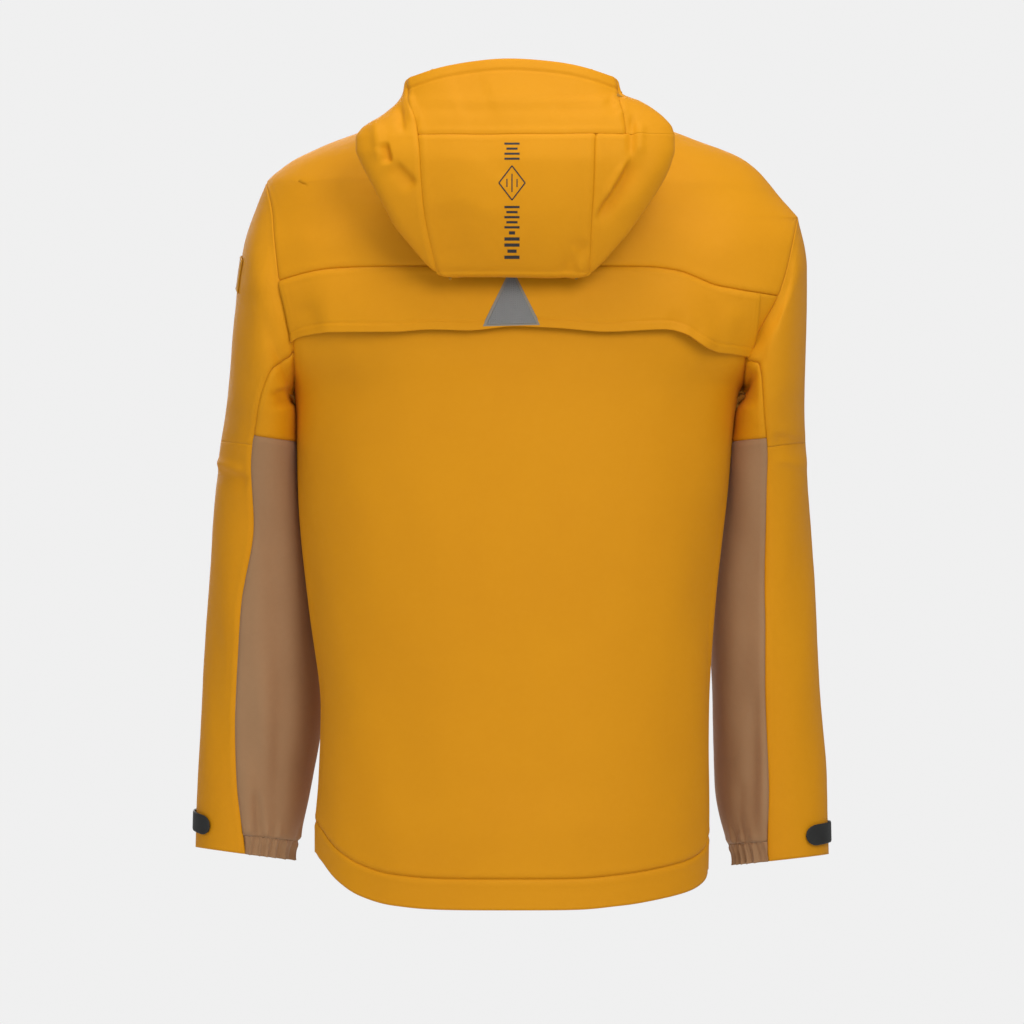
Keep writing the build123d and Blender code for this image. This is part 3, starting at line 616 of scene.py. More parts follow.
def make_torso():
    def panel_z(low, high):
        return lambda s, t, turn: low(turn) + (high(turn) - low(turn)) * t

    seam_top = lambda turn: hem_height(turn, HEM_BAND)
    bands = [
        ("back_panel", rear_turns, panel_z(seam_top, yoke_height), 150, 190, (1, 1, 1, 0), True),
        ("back_yoke", rear_turns, panel_z(yoke_height, neck_height), 170, 64, (1, 1, 1, 1), True),
        ("hem_band_back", rear_turns, panel_z(hem_height, seam_top), 150, 14, (1, 1, 0, 1), True),
    ]
    for side, name in SIDES:
        turns = front_turns(side)
        bands += [
            (f"front_panel_{name}", turns, panel_z(seam_top, neck_height), 190, 240, (1, 1, 1, 1), False),
            (f"hem_band_front_{name}", turns, panel_z(hem_height, seam_top), 72, 14, (1, 1, 0, 1), False),
        ]
    for name, turns, heights, nu, nv, seams, rear in bands:
        p = torso_grid(turns, heights, nu, nv)
        outward = np.sign(np.sum(grid_normals(p)[nu // 2, nv // 2] * [0, 1 if rear else -1, 0]))
        su, eu = grid_distances(p)[:2]
        amount = torso_relief(p) * smoothstep(np.minimum(su, eu) / 16)
        for distance, wanted in zip(grid_distances(p), seams):
            if wanted:
                amount = amount + seam_dip(distance)
        if name.startswith("front_panel"):
            amount = amount * away_from_pocket(p) - pocket_groove(p)
        p = offset_grid(p, amount * outward)
        obj = patch_object("cloth_" + name, p, flip=outward < 0)
        thicken(obj)
        dress(obj, "shell_ochre", "torso", OCHRE, BACKER, replaces=(name,))


# ---------------------------------------------------------------- sleeves
# (inner x, z), (outer x, z), centre y, half depth, turn of the inner panel's back seam
SLEEVE = {
    LEFT: [
        (219, 515, 246, 724, 0, 67, 211),
        (219, 508, 268, 664, -3, 74, 210),
        (216, 501, 279, 584, -8, 76, 191),
        (213, 488, 286, 506, -18, 74, 173),
        (210, 441, 294, 451, -34, 68, 168),
        (203, 380, 300, 384, -50, 65, 172),
        (194, 300, 306, 300, -62, 62, 158),
        (191, 201, 312, 205, -68, 58, 155),
        (202, 120, 316, 128, -70, 52, 163),
        (218, 47, 318, 60, -72, 46, 181),
    ],
    RIGHT: [
        (233, 515, 286, 690, 0, 66, 209),
        (228, 508, 294, 640, -3, 73, 205),
        (224, 500, 293, 575, -8, 75, 196),
        (220, 488, 292, 505, -18, 74, 187),
        (212, 441, 295, 449, -34, 68, 178),
        (205, 380, 299, 384, -50, 65, 178),
        (197, 300, 305, 300, -62, 62, 178),
        (201, 205, 310, 205, -68, 58, 182),
        (203, 120, 317, 125, -70, 52, 183),
        (221, 42, 319, 53, -72, 46, 197),
    ],
}
SLEEVE_FINE = {side: eased_table(SLEEVE[side]) for side in (LEFT, RIGHT)}
ELBOW_SPLIT = 3.72  # place along the rows where the upper mesh ends and the forearm's begins
INNER_TOP = 3.55  # place where the brown panel starts
GATHER, CUFF_END = 8.74, 9  # places where the cuff's gathers start and end


def sleeve_row(side, t):
    places, table = SLEEVE_FINE[side]
    return [np.interp(t, places, table[:, k]) for k in range(7)]


def armhole_point(side, turn):
    """The armhole seam on the torso, at the turn of the sleeve's first ring."""
    z = ARM_FOOT + (ARM_TOP[side] - ARM_FOOT) * (1 + np.sin(np.radians(turn))) / 2
    rear, fore = side_turn(z, side, True), side_turn(z, side, False)
    return torso_point(np.where(np.cos(np.radians(turn)) < 0, rear, fore), z)


def sleeve_point(side, t, turn):
    """A point on the sleeve, t along its rows; turn runs from the front centre round by the outside."""
    x0, z0, x1, z1, centre_y, half_depth, _ = sleeve_row(side, t)
    c = (1 + np.sin(np.radians(turn))) / 2
    x, z = x0 + (x1 - x0) * c, z0 + (z1 - z0) * c
    y = centre_y - half_depth * np.cos(np.radians(turn))
    p = np.stack([side * x, y, z], axis=-1)
    near = t < 1.3
    if np.any(near):
        first = np.zeros_like(t)
        a0, b0, a1, b1, cy, hd, _ = sleeve_row(side, first)
        oval_y = cy - hd * np.cos(np.radians(turn))
        oval = np.stack([side * (a0 + (a1 - a0) * c), oval_y, b0 + (b1 - b0) * c], axis=-1)
        share = (1 - smoothstep(t / 1.3))[..., None]
        p = p + (armhole_point(side, turn) - oval) * share
    return p


SLEEVE_FOLDS = {
    LEFT: [
        ((300, 440), (262, 424), 7, -3.2, 0.4),
        ((300, 447), (270, 436), 6, 2.4, 0.4),
        ((286, 500), (250, 470), 16, -2.0),
        ((230, 520), (224, 500), 10, -5.0),
        ((292, 420), (276, 250), 14, 1.6),
        ((240, 400), (226, 180), 16, -3.0),
        ((256, 380), (246, 150), 14, 2.4),
        ((222, 300), (214, 150), 12, 2.6),
        ((300, 300), (296, 140), 12, -1.6),
        ((262, 620), (238, 560), 20, -2.2),
        ((256, 118), (252, 62), 4, -4.2),
        ((266, 150), (262, 70), 7, 2.4),
        ((234, 200), (236, 64), 9, -3.0),
        ((248, 250), (244, 120), 9, 2.2),
    ],
    RIGHT: [
        ((-296, 462), (-258, 470), 8, -3.0, -0.4),
        ((-297, 442), (-262, 450), 7, 2.2, 0.4),
        ((-285, 520), (-262, 480), 16, -1.8),
        ((-236, 540), (-234, 500), 10, -5.0),
        ((-290, 420), (-286, 220), 14, -1.6),
        ((-240, 400), (-228, 180), 16, -3.2),
        ((-250, 330), (-246, 140), 14, 2.4),
        ((-226, 300), (-214, 150), 12, 2.4),
        ((-272, 640), (-250, 580), 20, -2.4),
        ((-243, 230), (-238, 64), 8, -3.4),
        ((-252, 180), (-250, 66), 6, 2.6),
        ((-228, 130), (-226, 60), 6, -2.6),
    ],
}


def sleeve_grid(side, t0, t1, start, end, nu, nv):
    """A sleeve patch from row place t0 to t1, and from the start turn to the end turn, which depend on t."""
    t = np.linspace(t0, t1, nv)[None, :] * np.ones((nu, 1))
    s = np.linspace(0, 1, nu)[:, None]
    a, b = start(t), end(t)
    return sleeve_point(side, t, a + (b - a) * s), t, a + (b - a) * s


def make_sleeve(side, name):
    def seam(t):
        return sleeve_row(side, t)[6]

    def front_seam(t):
        return 180 - seam(t)

    def round_seam(t):
        return front_seam(t) + 360

    ochre, brown = (OCHRE, BACKER), (BROWN, DARK_BACKER)
    outer, inner = (front_seam, seam), (seam, round_seam)
    pieces = [
        (f"sleeve_upper_{name}", 0, ELBOW_SPLIT, *outer, 96, 100, (1, 1, 1, 0), *ochre, "upper"),
        (f"sleeve_lower_{name}", ELBOW_SPLIT, CUFF_END, *outer, 96, 150, (1, 1, 0, 0), *ochre, "lower"),
        (f"underarm_gusset_{name}", 0, INNER_TOP, *inner, 64, 84, (1, 1, 1, 1), *ochre, "upper"),
        (f"sleeve_inner_panel_{name}", INNER_TOP, GATHER, *inner, 90, 150, (1, 1, 1, 1), *brown, "lower"),
        (f"cuff_gather_{name}", GATHER, CUFF_END, *inner, 260, 16, (1, 1, 1, 0), *brown, "lower"),
    ]
    for node, t0, t1, start, end, nu, nv, seams, face, inside, zone in pieces:
        p, t, turn = sleeve_grid(side, t0, t1, start, end, nu, nv)
        centre = np.stack([np.full_like(t, side * 260.0), np.full_like(t, -40.0), p[..., 2]], axis=-1)
        normal = grid_normals(p)
        outward = facing_out(normal, p - centre)
        back = smoothstep((p[..., 1] - np.interp(t, range(10), [r[4] for r in SLEEVE[side]]) + 10) / 30)
        amount = 0.9 * BROAD(p) + 0.7 * SOFT(p) + 0.08 * FINE(p) + back * folds(p, SLEEVE_FOLDS[side])
        if t0 == 0:
            amount = amount * smoothstep(grid_distances(p)[2] / 16)
        for k, (distance, wanted) in enumerate(zip(grid_distances(p), seams)):
            if wanted and not (k == 2 and t0 == 0):
                amount = amount + seam_dip(distance)
        if node.startswith("cuff_gather"):
            amount = amount + gather_relief(t, turn, side)
        if node.startswith("sleeve_inner"):
            near = np.exp(-(((GATHER - t) / 0.2) ** 2)) * smoothstep((GATHER - t) / 0.05)
            phase = np.radians(turn) * 13 + 2.2 * np.sin(np.radians(turn) * 5 + side)
            amount = amount + near * (1.5 * np.sin(phase) + 0.7 * np.sin(phase * 2.1 + 1))
        p = p + normal * (amount * outward)[..., None]
        if t0 == 0:  # the seam allowance, turned in behind the torso's edge
            p = np.concatenate([p[:, :1] + [-side * 6.0, 0, -1.0], p], axis=1)
        obj = patch_object("cloth_" + node, p, flip=outward < 0)
        thicken(obj)
        slot = "shell_ochre" if face is OCHRE else ("cuff_fabric" if "gather" in node else "shell_brown")
        dress(obj, slot, None, face, inside, replaces=(node,))
        if zone == "upper":
            blend_shoulder(obj)
        else:
            blend_elbow(obj)


def make_underarm_lining(side, name):
    """Lining under the arm: its head lies at the armhole and its foot runs along the sleeve."""
    t = np.linspace(0, 3.1, 60)[None, :] * np.ones((60, 1))
    turn = np.linspace(-150, -30, 60)[:, None] * np.ones((1, 60))
    p = sleeve_point(side, t, turn)
    normal = grid_normals(p)
    centre = np.stack([np.full_like(t, side * 256.0), np.full_like(t, -30.0), p[..., 2]], axis=-1)
    outward = facing_out(normal, p - centre)
    p = p - normal * (outward * (7.4 + 0.5 * SOFT(p)) * smoothstep(t / 0.4 + 0.3))[..., None]
    obj = patch_object(f"underarm_lining_{name}", p, flip=outward < 0)
    thicken(obj, 0.5, inner=0)
    dress(obj, "lining", None, BACKER)
    blend_between(obj)


def gather_relief(t, turn, side):
    """Elastic pleats of the cuff: a tight wave, pinched at the elastic and flaring at the edge."""
    phase = np.radians(turn) * 26 + 2.6 * np.sin(np.radians(turn) * 5 + side)
    along = (t - GATHER) / (CUFF_END - GATHER)
    pinch = -1.6 * np.sin(math.pi * np.clip(along, 0, 1)) ** 0.7 + 0.8 * along
    crest = 1 - 2 * np.abs(np.sin(phase / 2)) ** 0.75
    return pinch + (1.3 + 0.9 * along) * crest * smoothstep(along * 5 + 0.2) + 0.4 * np.sin(phase * 2.3 + 1)


def blend_shoulder(obj):
    """Bakes the object's transform into its mesh, as blend_between does."""
    blend_between(obj)


def blend_elbow(obj):
    """Bakes the object's transform into its mesh, as blend_between does."""
    blend_between(obj)


# ---------------------------------------------------------------- hood
# height, half width on the left and right, inner and outer depth behind the neck
HOOD = [
    (629, 68, 72, 138, 151),
    (640, 84, 86, 135, 161),
    (657, 98, 101, 132, 170),
    (677, 112, 118, 127, 178),
    (698, 125, 133, 122, 184),
    (721, 138, 147, 118, 187),
    (742, 149, 157, 114, 188),
    (756, 155, 161, 112, 186),
    (767, 155, 161, 109, 183),
    (777, 149, 159, 107, 179),
    (787, 133, 151, 104, 176),
    (795, 122, 141, 100, 173),
    (803, 113, 127, 97, 171),
    (811, 108, 108, 95, 167),
    (825, 105, 104, 92, 160),
    (850, 101, 101, 87, 148),
]
_, HOOD_FINE = eased_table(HOOD)
CROWN_X = {
    LEFT: smooth_curve([
        (629, 74), (664, 82), (692, 87), (725, 90), (758, 92), (787, 96), (807, 103), (850, 104),
    ]),
    RIGHT: smooth_curve([(629, 77), (676, 78.5), (725, 81), (765, 82), (771, 83), (850, 83)]),
}
VISOR_X = {LEFT: CROWN_X[LEFT], RIGHT: smooth_curve([(765, 114), (785, 111), (807, 106), (850, 103)])}
VISOR_SEAM, HOOD_FOOT, REAR_TOP = 770.5, 634, 797.0  # heights of a seam and of the walls' two edges
HOOD_FOLDS = [
    ((-123, 748), (-84, 684), 6, -7.0, -0.5),
    ((-112, 742), (-92, 704), 5, 3.0),
    ((-119, 790), (-118, 745), 4, -3.0, 0.3),
    ((-127, 782), (-126, 750), 5, 2.2),
    ((-150, 748), (-112, 690), 10, 2.4),
    ((-76, 664), (-48, 628), 8, -3.2, 0.4),
    ((-60, 660), (-72, 630), 5, 2.0),
    ((-94, 806), (-108, 792), 5, -1.8, 0.4),
    ((-102, 800), (-112, 790), 4, 1.4),
    ((126, 762), (121, 742), 4, -6.0, 0.5),
    ((118, 741), (96, 718), 7, -4.6, 0.4),
    ((136, 786), (130, 744), 6, 2.6),
    ((112, 800), (108, 772), 4, -2.6, 0.3),
    ((103, 812), (98, 782), 4, 2.2),
    ((147, 750), (104, 664), 9, 2.0),
    ((152, 738), (120, 680), 5, -1.8),
    ((70, 700), (60, 640), 22, -2.4),
    ((30, 700), (-10, 650), 30, 1.2),
    ((55, 800), (20, 812), 26, -1.4),
    ((-40, 790), (-85, 806), 20, -1.6),
    ((10, 735), (40, 690), 26, 1.6),
]


def hood_halves(z):
    return [np.interp(z, HOOD_FINE[:, 0], HOOD_FINE[:, k]) for k in range(1, 5)]


def hood_point(turn, z, lift=0.0):
    """Points on the folded hood: turn in degrees from the side facing the neck round by the left."""
    left, right, y_in, y_out = hood_halves(z)
    across, along = np.sin(np.radians(turn)), -np.cos(np.radians(turn))
    x = across * (np.where(across > 0, left, right) + lift)
    y = (y_in + y_out) / 2 + along * ((y_out - y_in) / 2 + lift)
    return np.stack(np.broadcast_arrays(x, y, z), axis=-1)


def hood_turn(x, z):
    """Turn on the hood's outer wall at which it reaches x."""
    left, right, _, _ = hood_halves(z)
    return 180 - np.degrees(np.arcsin(np.clip(x / np.where(x > 0, left, right), -0.985, 0.985)))


def brim_height(x):
    return 843.4 - 20.5 * (np.abs(x) / 107) ** 2.1


def hood_relief(p):
    outer = smoothstep((p[..., 1] - 128) / 22)
    return 1.3 * BROAD(p) + 0.6 * SOFT(p) + 0.07 * FINE(p) + outer * folds(p, HOOD_FOLDS)


def hood_foot(ring, angle):
    """The rounded bottom fold of the bag: the ring drawn in under itself by an angle."""
    centre = np.stack([ring[..., 0] * 0.8, np.full(ring.shape[:-1], 144.5), ring[..., 2]], axis=-1)
    p = centre + (ring - centre) * math.cos(angle)
    p[..., 2] -= 6.0 * math.sin(angle)
    return p


def hood_grid(start, end, low, high, nu, nv, roll=0.0, foot=0):
    """A hood patch between two turns and two heights.

    With roll, its top edge turns inwards as a hem. With foot, it carries on under the bag in that many rows.
    """
    s, t = unit_grid(nu, nv)
    z = np.full_like(s, 740.0)
    for _ in range(6):
        a, b = start(z), end(z)
        turn = a + (b - a) * s
        top = high(turn, z)
        z = low + (top - low) * t
    p = hood_point(turn, z)
    rows = [hood_foot(p[:, :1], math.pi / 2 * k / foot) for k in range(foot, 0, -1)] + [p]
    if not roll:
        return np.concatenate(rows, axis=1)
    edge, turn_edge = p[:, -1:], turn[:, -1:]
    for k in range(1, 15):
        angle = math.pi * min(k / 8, 1.0)
        drop = max(0, k - 8) * 3.5
        z_here = edge[..., 2] + roll * math.sin(angle) - drop
        rows.append(hood_point(turn_edge, z_here, -roll * (1 - math.cos(angle))))
    return np.concatenate(rows, axis=1)


def hood_normals(p, foot, nv):
    """Grid normals, with the walls' taken from the hood's own form so that neighbouring pieces agree."""
    normal = grid_normals(p)
    wall = p[:, foot : foot + nv]
    z = wall[..., 2]
    left, right, y_in, y_out = hood_halves(z)
    half = np.where(wall[..., 0] > 0, left, right)
    middle, reach = (y_in + y_out) / 2, (y_out - y_in) / 2
    across, along = np.clip(wall[..., 0] / half, -1, 1), (wall[..., 1] - middle) / reach
    turn = np.degrees(np.arctan2(across, -along))
    du = hood_point(turn + 0.5, z) - hood_point(turn - 0.5, z)
    dv = hood_point(turn, z + 0.7) - hood_point(turn, z - 0.7)
    n = np.cross(du, dv)
    n /= np.maximum(np.linalg.norm(n, axis=-1, keepdims=True), 1e-9)
    sign = np.sign(np.sum(n * normal[:, foot : foot + nv], axis=-1, keepdims=True))
    normal[:, foot : foot + nv] = n * np.where(sign == 0, 1, sign)
    return normal


def make_hood():
    at_seam = lambda turn, z: np.full_like(z, VISOR_SEAM)
    brim = lambda turn, z: brim_height(hood_point(turn, z)[..., 0])

    def side_top(turn, z):
        inward = smoothstep((100 - np.minimum(turn, 360 - turn)) / 30)
        return brim_height(hood_point(turn, z)[..., 0] * 0.97) * (1 - inward) + REAR_TOP * inward

    def crown_left(z):
        return hood_turn(CROWN_X[LEFT](z), z)

    def crown_right(z):
        return hood_turn(-CROWN_X[RIGHT](z), z)

    def visor_right(z):
        return hood_turn(-VISOR_X[RIGHT](z), z)

    rear_top = lambda turn, z: np.full_like(z, REAR_TOP)
    fixed = lambda value: (lambda z: np.full_like(z, float(value)))
    under_visor = lambda p: smoothstep((113.5 + p[..., 0]) / 3)
    pieces = [
        ("crown_panel", crown_left, crown_right, HOOD_FOOT, at_seam, 150, 110, 0, 12, (1, 1, 0, 1)),
        ("visor", crown_left, visor_right, VISOR_SEAM, brim, 170, 58, 2.1, 0, (1, 1, 1, 0)),
        ("side_left", fixed(72), crown_left, HOOD_FOOT, side_top, 84, 150, 1.6, 12, (0, 1, 0, 0)),
        ("side_right", crown_right, fixed(288), HOOD_FOOT, at_seam, 90, 110, 0, 12, (1, 0, 0, under_visor)),
        ("side_right_top", visor_right, fixed(288), VISOR_SEAM, side_top, 84, 44, 1.6, 0, (1, 0, 0, 0)),
        ("rear_panel", fixed(-72), fixed(72), HOOD_FOOT, rear_top, 70, 60, 0, 12, (1, 1, 0, 0)),
    ]
    for name, start, end, low, high, nu, nv, roll, foot, seams in pieces:
        p = hood_grid(start, end, low, high, nu, nv, roll, foot)
        normal = hood_normals(p, foot, nv)
        middle = p[nu // 2, foot + nv // 2] - [0, 145, p[nu // 2, foot + nv // 2][2]]
        outward = np.sign(np.sum(normal[nu // 2, foot + nv // 2] * middle))
        amount = hood_relief(p)
        for distance, wanted in zip(grid_distances(p), seams):
            if callable(wanted):
                amount = amount + seam_dip(distance) * wanted(p)
            elif wanted:
                amount = amount + seam_dip(distance)
        if name == "visor":
            below = brim_height(p[..., 0]) - p[..., 2]
            hem = smoothstep((9.5 - below) / 2.0)
            amount = amount + 0.9 * hem - 0.9 * np.exp(-(((below - 8.5) / 1.4) ** 2))
        last = foot + nv - 1
        if roll:
            amount[:, last + 1 :] = amount[:, last : last + 1]
            normal[:, last:] = normal[:, last - 1 : last]
        p = p + normal * (amount * outward)[..., None]
        obj = patch_object("cloth_hood_" + name, p, flip=outward < 0)
        thicken(obj)
        facing = (BACKER, OCHRE) if name == "rear_panel" else (OCHRE, BACKER)
        replaced = () if name == "side_right_top" else ("hood_" + name,)
        dress(obj, "lining" if name == "rear_panel" else "shell_ochre", "hood", *facing, replaces=replaced)
    make_hood_floor()
    make_hood_wings()


def make_hood_floor():
    """Lining laid in the bottom fold of the bag."""
    nu, nv = 200, 14
    turn = np.linspace(0, 360, nu, endpoint=False)
    ring = hood_point(turn, np.full_like(turn, 648.0), -9.0)
    rows = [hood_foot(ring, math.pi / 2 * k / (nv - 1)) for k in range(nv)]
    obj = patch_object("cloth_hood_floor", np.stack(rows, axis=1), close=True)
    thicken(obj, 0.6, inner=0)
    dress(obj, "lining", "hood", BACKER, replaces=("hood_floor",))


def neck_head(turn):
    return wave(778, 830, 812)(turn)


def make_hood_wings():
    """Cloth from the hood's neck seam back to the bag: one wing on each side and the nape between them."""
    strips = []
    for side, name in SIDES:
        strips.append((f"hood_wing_{name}", np.linspace(74, 128, 60), np.linspace(96, 72, 60), side))
    strips.append(("hood_nape", np.linspace(128, 232, 90), np.linspace(72, -72, 90), 0))
    for name, neck_turns, bag_turns, side in strips:
        if side == RIGHT:
            neck_turns, bag_turns = 360 - neck_turns, -bag_turns
        nv = 40
        x, y = neck_line(neck_turns, 10.5)
        start = np.stack([x, y, neck_head(neck_turns) - 3], axis=-1)
        height = np.full_like(bag_turns, 796.0)
        if side:
            height = 796 + 12 * smoothstep((np.abs(bag_turns) - 76) / 16)
        end = hood_point(bag_turns, height, -2.5)
        t = np.linspace(0, 1, nv)[None, :, None]
        p = start[:, None] * (1 - t) + end[:, None] * t
        p[..., 2] -= (9 + 5 * abs(side)) * np.sin(math.pi * t[..., 0])
        normal = grid_normals(p)
        up = np.sign(normal[len(p) // 2, nv // 2, 2])
        p = p + normal * (up * (0.8 * BROAD(p) + 0.9 * SOFT(p)))[..., None]
        obj = patch_object("cloth_" + name, p, flip=up < 0)
        thicken(obj)
        dress(obj, "shell_ochre", None, OCHRE if side else BACKER, BACKER if side else OCHRE)
        blend_between(obj)


# ---------------------------------------------------------------- vent flap
def back_point(x, z):
    """A point on the torso's back at a place across and a height."""
    left, right, back, _ = torso_halves(z)
    y = back * np.sqrt(np.clip(1 - (x / np.where(x > 0, left, right)) ** 2, 0.02, 1))
    return np.stack([x, y, z], axis=-1)


def rear_strip(x0, x1, low, high, nu, nv):
    """A grid on the back between two places across and two height curves over x."""
    s, t = unit_grid(nu, nv)
    z = np.full_like(s, 605.0)
    for _ in range(4):
        x = x0(z) + (x1(z) - x0(z)) * s
        z = low(x) + (high(x) - low(x)) * t
    return back_point(x, z), t


FLAP_RIGHT_END = smooth_curve([(548, -235), (571, -242), (611, -247), (640, -249)])
FLAP_FOLDS = [
    ((-196, 556), (-160, 576), 13, 3.4, 0.4),
    ((-150, 590), (-186, 572), 10, -2.0),
    ((-222, 600), (-206, 558), 12, 1.8),
    ((205, 604), (190, 574), 10, -1.6),
    ((150, 600), (120, 578), 24, 1.2),
]


def flap_lift(x):
    gape = 3.0 * np.exp(-(((x + 172) / 26) ** 2)) + 1.5 * np.exp(-(((x - 165) / 40) ** 2))
    return 1.2 + (6.4 + gape) * smoothstep((x + 236) / 50) * smoothstep((217 - x) / 40)


def make_flap():
    left_end = lambda z: ARM_X[LEFT](z) - 1.0
    p, t = rear_strip(left_end, FLAP_RIGHT_END, FLAP_Z, lambda x: YOKE_Z(x) - 0.3, 240, 60)
    normal = grid_normals(p)
    outward = np.sign(normal[120, 30, 1])
    amount = torso_relief(p) + folds(p, FLAP_FOLDS)
    amount = amount + 0.9 + flap_lift(p[..., 0]) * np.clip(1 - t, 0, 1) ** 0.75
    su, eu, sv, ev = grid_distances(p)
    hem = 0.35 * smoothstep((9 - sv) / 1.5) - 0.55 * np.exp(-(((sv - 9) / 1.2) ** 2))
    amount = amount + hem + seam_dip(ev, 0.8)
    for edge in (su, eu):
        amount = amount - 0.6 * np.exp(-(((edge - 2.2) / 0.9) ** 2))
        amount = amount - 0.5 * np.exp(-(((edge - 8) / 1.0) ** 2))
    shell = p + normal * (amount * outward)[..., None]
    obj = patch_object("cloth_vent_flap", shell, flip=outward < 0)
    thicken(obj, 1.4)
    dress(obj, "shell_ochre", None, OCHRE, BACKER, replaces=("vent_flap",))
    flap_blend(obj)
    make_triangle()


def flap_blend(obj):
    blend_between(obj)


def flap_surface(x, z, proud):
    """A point on the flap's outer face."""
    p = back_point(x, z)
    t = np.clip((z - FLAP_Z(x)) / (YOKE_Z(x) - 0.3 - FLAP_Z(x)), 0, 1)
    amount = torso_relief(p) + folds(p, FLAP_FOLDS) + 0.9 + flap_lift(x) * (1 - t) ** 0.75 + proud
    p[..., 1] += amount
    return p


def make_triangle():
    """Woven reflective triangle sewn on the flap, with a stitched border."""
    foot, head = 580.5, 638.5

    def grid(inset, proud, nu, nv):
        s = np.linspace(-1, 1, nu)[:, None] * np.ones((1, nv))
        t = np.linspace(0, 1, nv)[None, :] * np.ones((nu, 1))
        z = foot + inset + (head - foot - inset * 3.2) * t
        half = (29.5 - inset * 2.0) * (1 - t) + 0.6 * t
        x = 0.6 + half * s
        z = z - 1.2 * (1 - t) * s * 0.6
        return flap_surface(x, z, proud)

    for name, inset, proud, material, slot in (
        ("triangle_border", 0.0, 0.5, PALE_THREAD, "reflective_grey"),
        ("reflective_triangle", 2.2, 0.95, REFLECTIVE, "reflective_grey"),
    ):
        p = grid(inset, proud, 61, 81)
        edge = np.minimum(np.minimum(*grid_distances(p)[:2]), grid_distances(p)[2])
        p[..., 1] -= 0.35 * np.exp(-((edge / 0.5) ** 2))
        obj = patch_object("cloth_" + name, p, flip=True)
        thicken(obj, 0.6, inner=0)
        replaced = ("reflective_triangle",) if name == "reflective_triangle" else ()
        dress(obj, slot, None, material, replaces=replaced)
        flap_blend(obj)


# ---------------------------------------------------------------- generic marks on the hood
def make_marks():
    """A column of plain bars and an outlined diamond, printed on the crown: a stand-in with no lettering."""
    shapes = []
    for foot, height, width in (
        (647, 3.2, 15), (653, 3.2, 9), (659, 3.2, 15), (665, 3.2, 15), (671, 3.2, 6), (677, 2.2, 15),
        (682, 2.2, 11), (687, 2.2, 15), (692, 2.2, 11), (697, 2.2, 15),
        (745, 2.0, 15), (750, 2.0, 15), (755, 2.0, 11), (760, 2.0, 15),
    ):
        w = width / 2
        shapes.append([(-w, foot), (w, foot), (w, foot + height), (-w, foot + height)])
    faces, points = [], []

    def strip(a, b, width):
        a, b = np.array(a, float), np.array(b, float)
        along = (b - a) / np.linalg.norm(b - a)
        side = np.array([-along[1], along[0]]) * width / 2
        n = 8
        base = len(points)
        for k in range(n + 1):
            q = a + (b - a) * k / n
            points.extend([q - side, q + side])
        for k in range(n):
            faces.append((base + 2 * k, base + 2 * k + 1, base + 2 * k + 3, base + 2 * k + 2))

    for (x0, z0), (x1, _), (_, z1), _ in shapes:
        strip(((x0 + x1) / 2, z0), ((x0 + x1) / 2, z1), x1 - x0)
    diamond = [(0, 705), (13, 722), (0, 739), (-13, 722)]
    for k in range(4):
        strip(diamond[k], diamond[(k + 1) % 4], 1.2)
    for x in (-5, 0, 5):
        strip((x, 713 + abs(x)), (x, 731 - abs(x)), 1.0)
    q = np.array(points)
    x, z = q[:, 0], q[:, 1]
    surface = hood_point(hood_turn(x, z), z)
    out = np.zeros_like(surface)
    out[:, 1] = hood_relief(surface) + 0.35
    out[:, 2] = 0
    obj = mesh_object("hood_print", surface + out, [f[::-1] for f in faces])
    obj.data.materials.append(PRINT)
    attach(obj, "hood")


# ---------------------------------------------------------------- cuffs and badge
def sleeve_pad(side, turns, place, half_height, proud, nu=60, nv=24, tip=0.0):
    """A patch lying on the sleeve; tip is the share of its length that rounds off at the end."""
    s = np.linspace(0, 1, nu)[:, None] * np.ones((1, nv))
    w = np.linspace(-1, 1, nv)[None, :] * np.ones((nu, 1))
    turn = turns[0] + (turns[1] - turns[0]) * s
    width = np.ones_like(s)
    if tip:
        width = np.sqrt(np.clip(1 - (np.clip((s - 1 + tip) / tip, 0, 0.999)) ** 2, 0.002, 1))
    t = place(turn) + w * width * half_height / 70
    p = sleeve_point(side, t, turn)
    steady = sleeve_point(side, place(turn), turn)
    relief = 0.9 * BROAD(steady) + 0.7 * SOFT(steady)
    axis = np.array([side * 262.0, 0, 0])
    centre_y = np.interp(t, range(10), [row[4] for row in SLEEVE[side]])
    normal = grid_normals(sleeve_point(side, place(turn) + w * half_height / 70, turn))
    away = np.stack([p[..., 0] - axis[0], p[..., 1] - centre_y, np.zeros_like(t)], axis=-1)
    outward = facing_out(normal, away)
    edge = np.minimum(*[np.minimum(a, b) for a, b in (grid_distances(p)[:2], grid_distances(p)[2:])])
    crown = -0.5 * np.exp(-((edge / 0.9) ** 2))
    return p + normal * ((relief + proud + crown) * outward)[..., None], outward


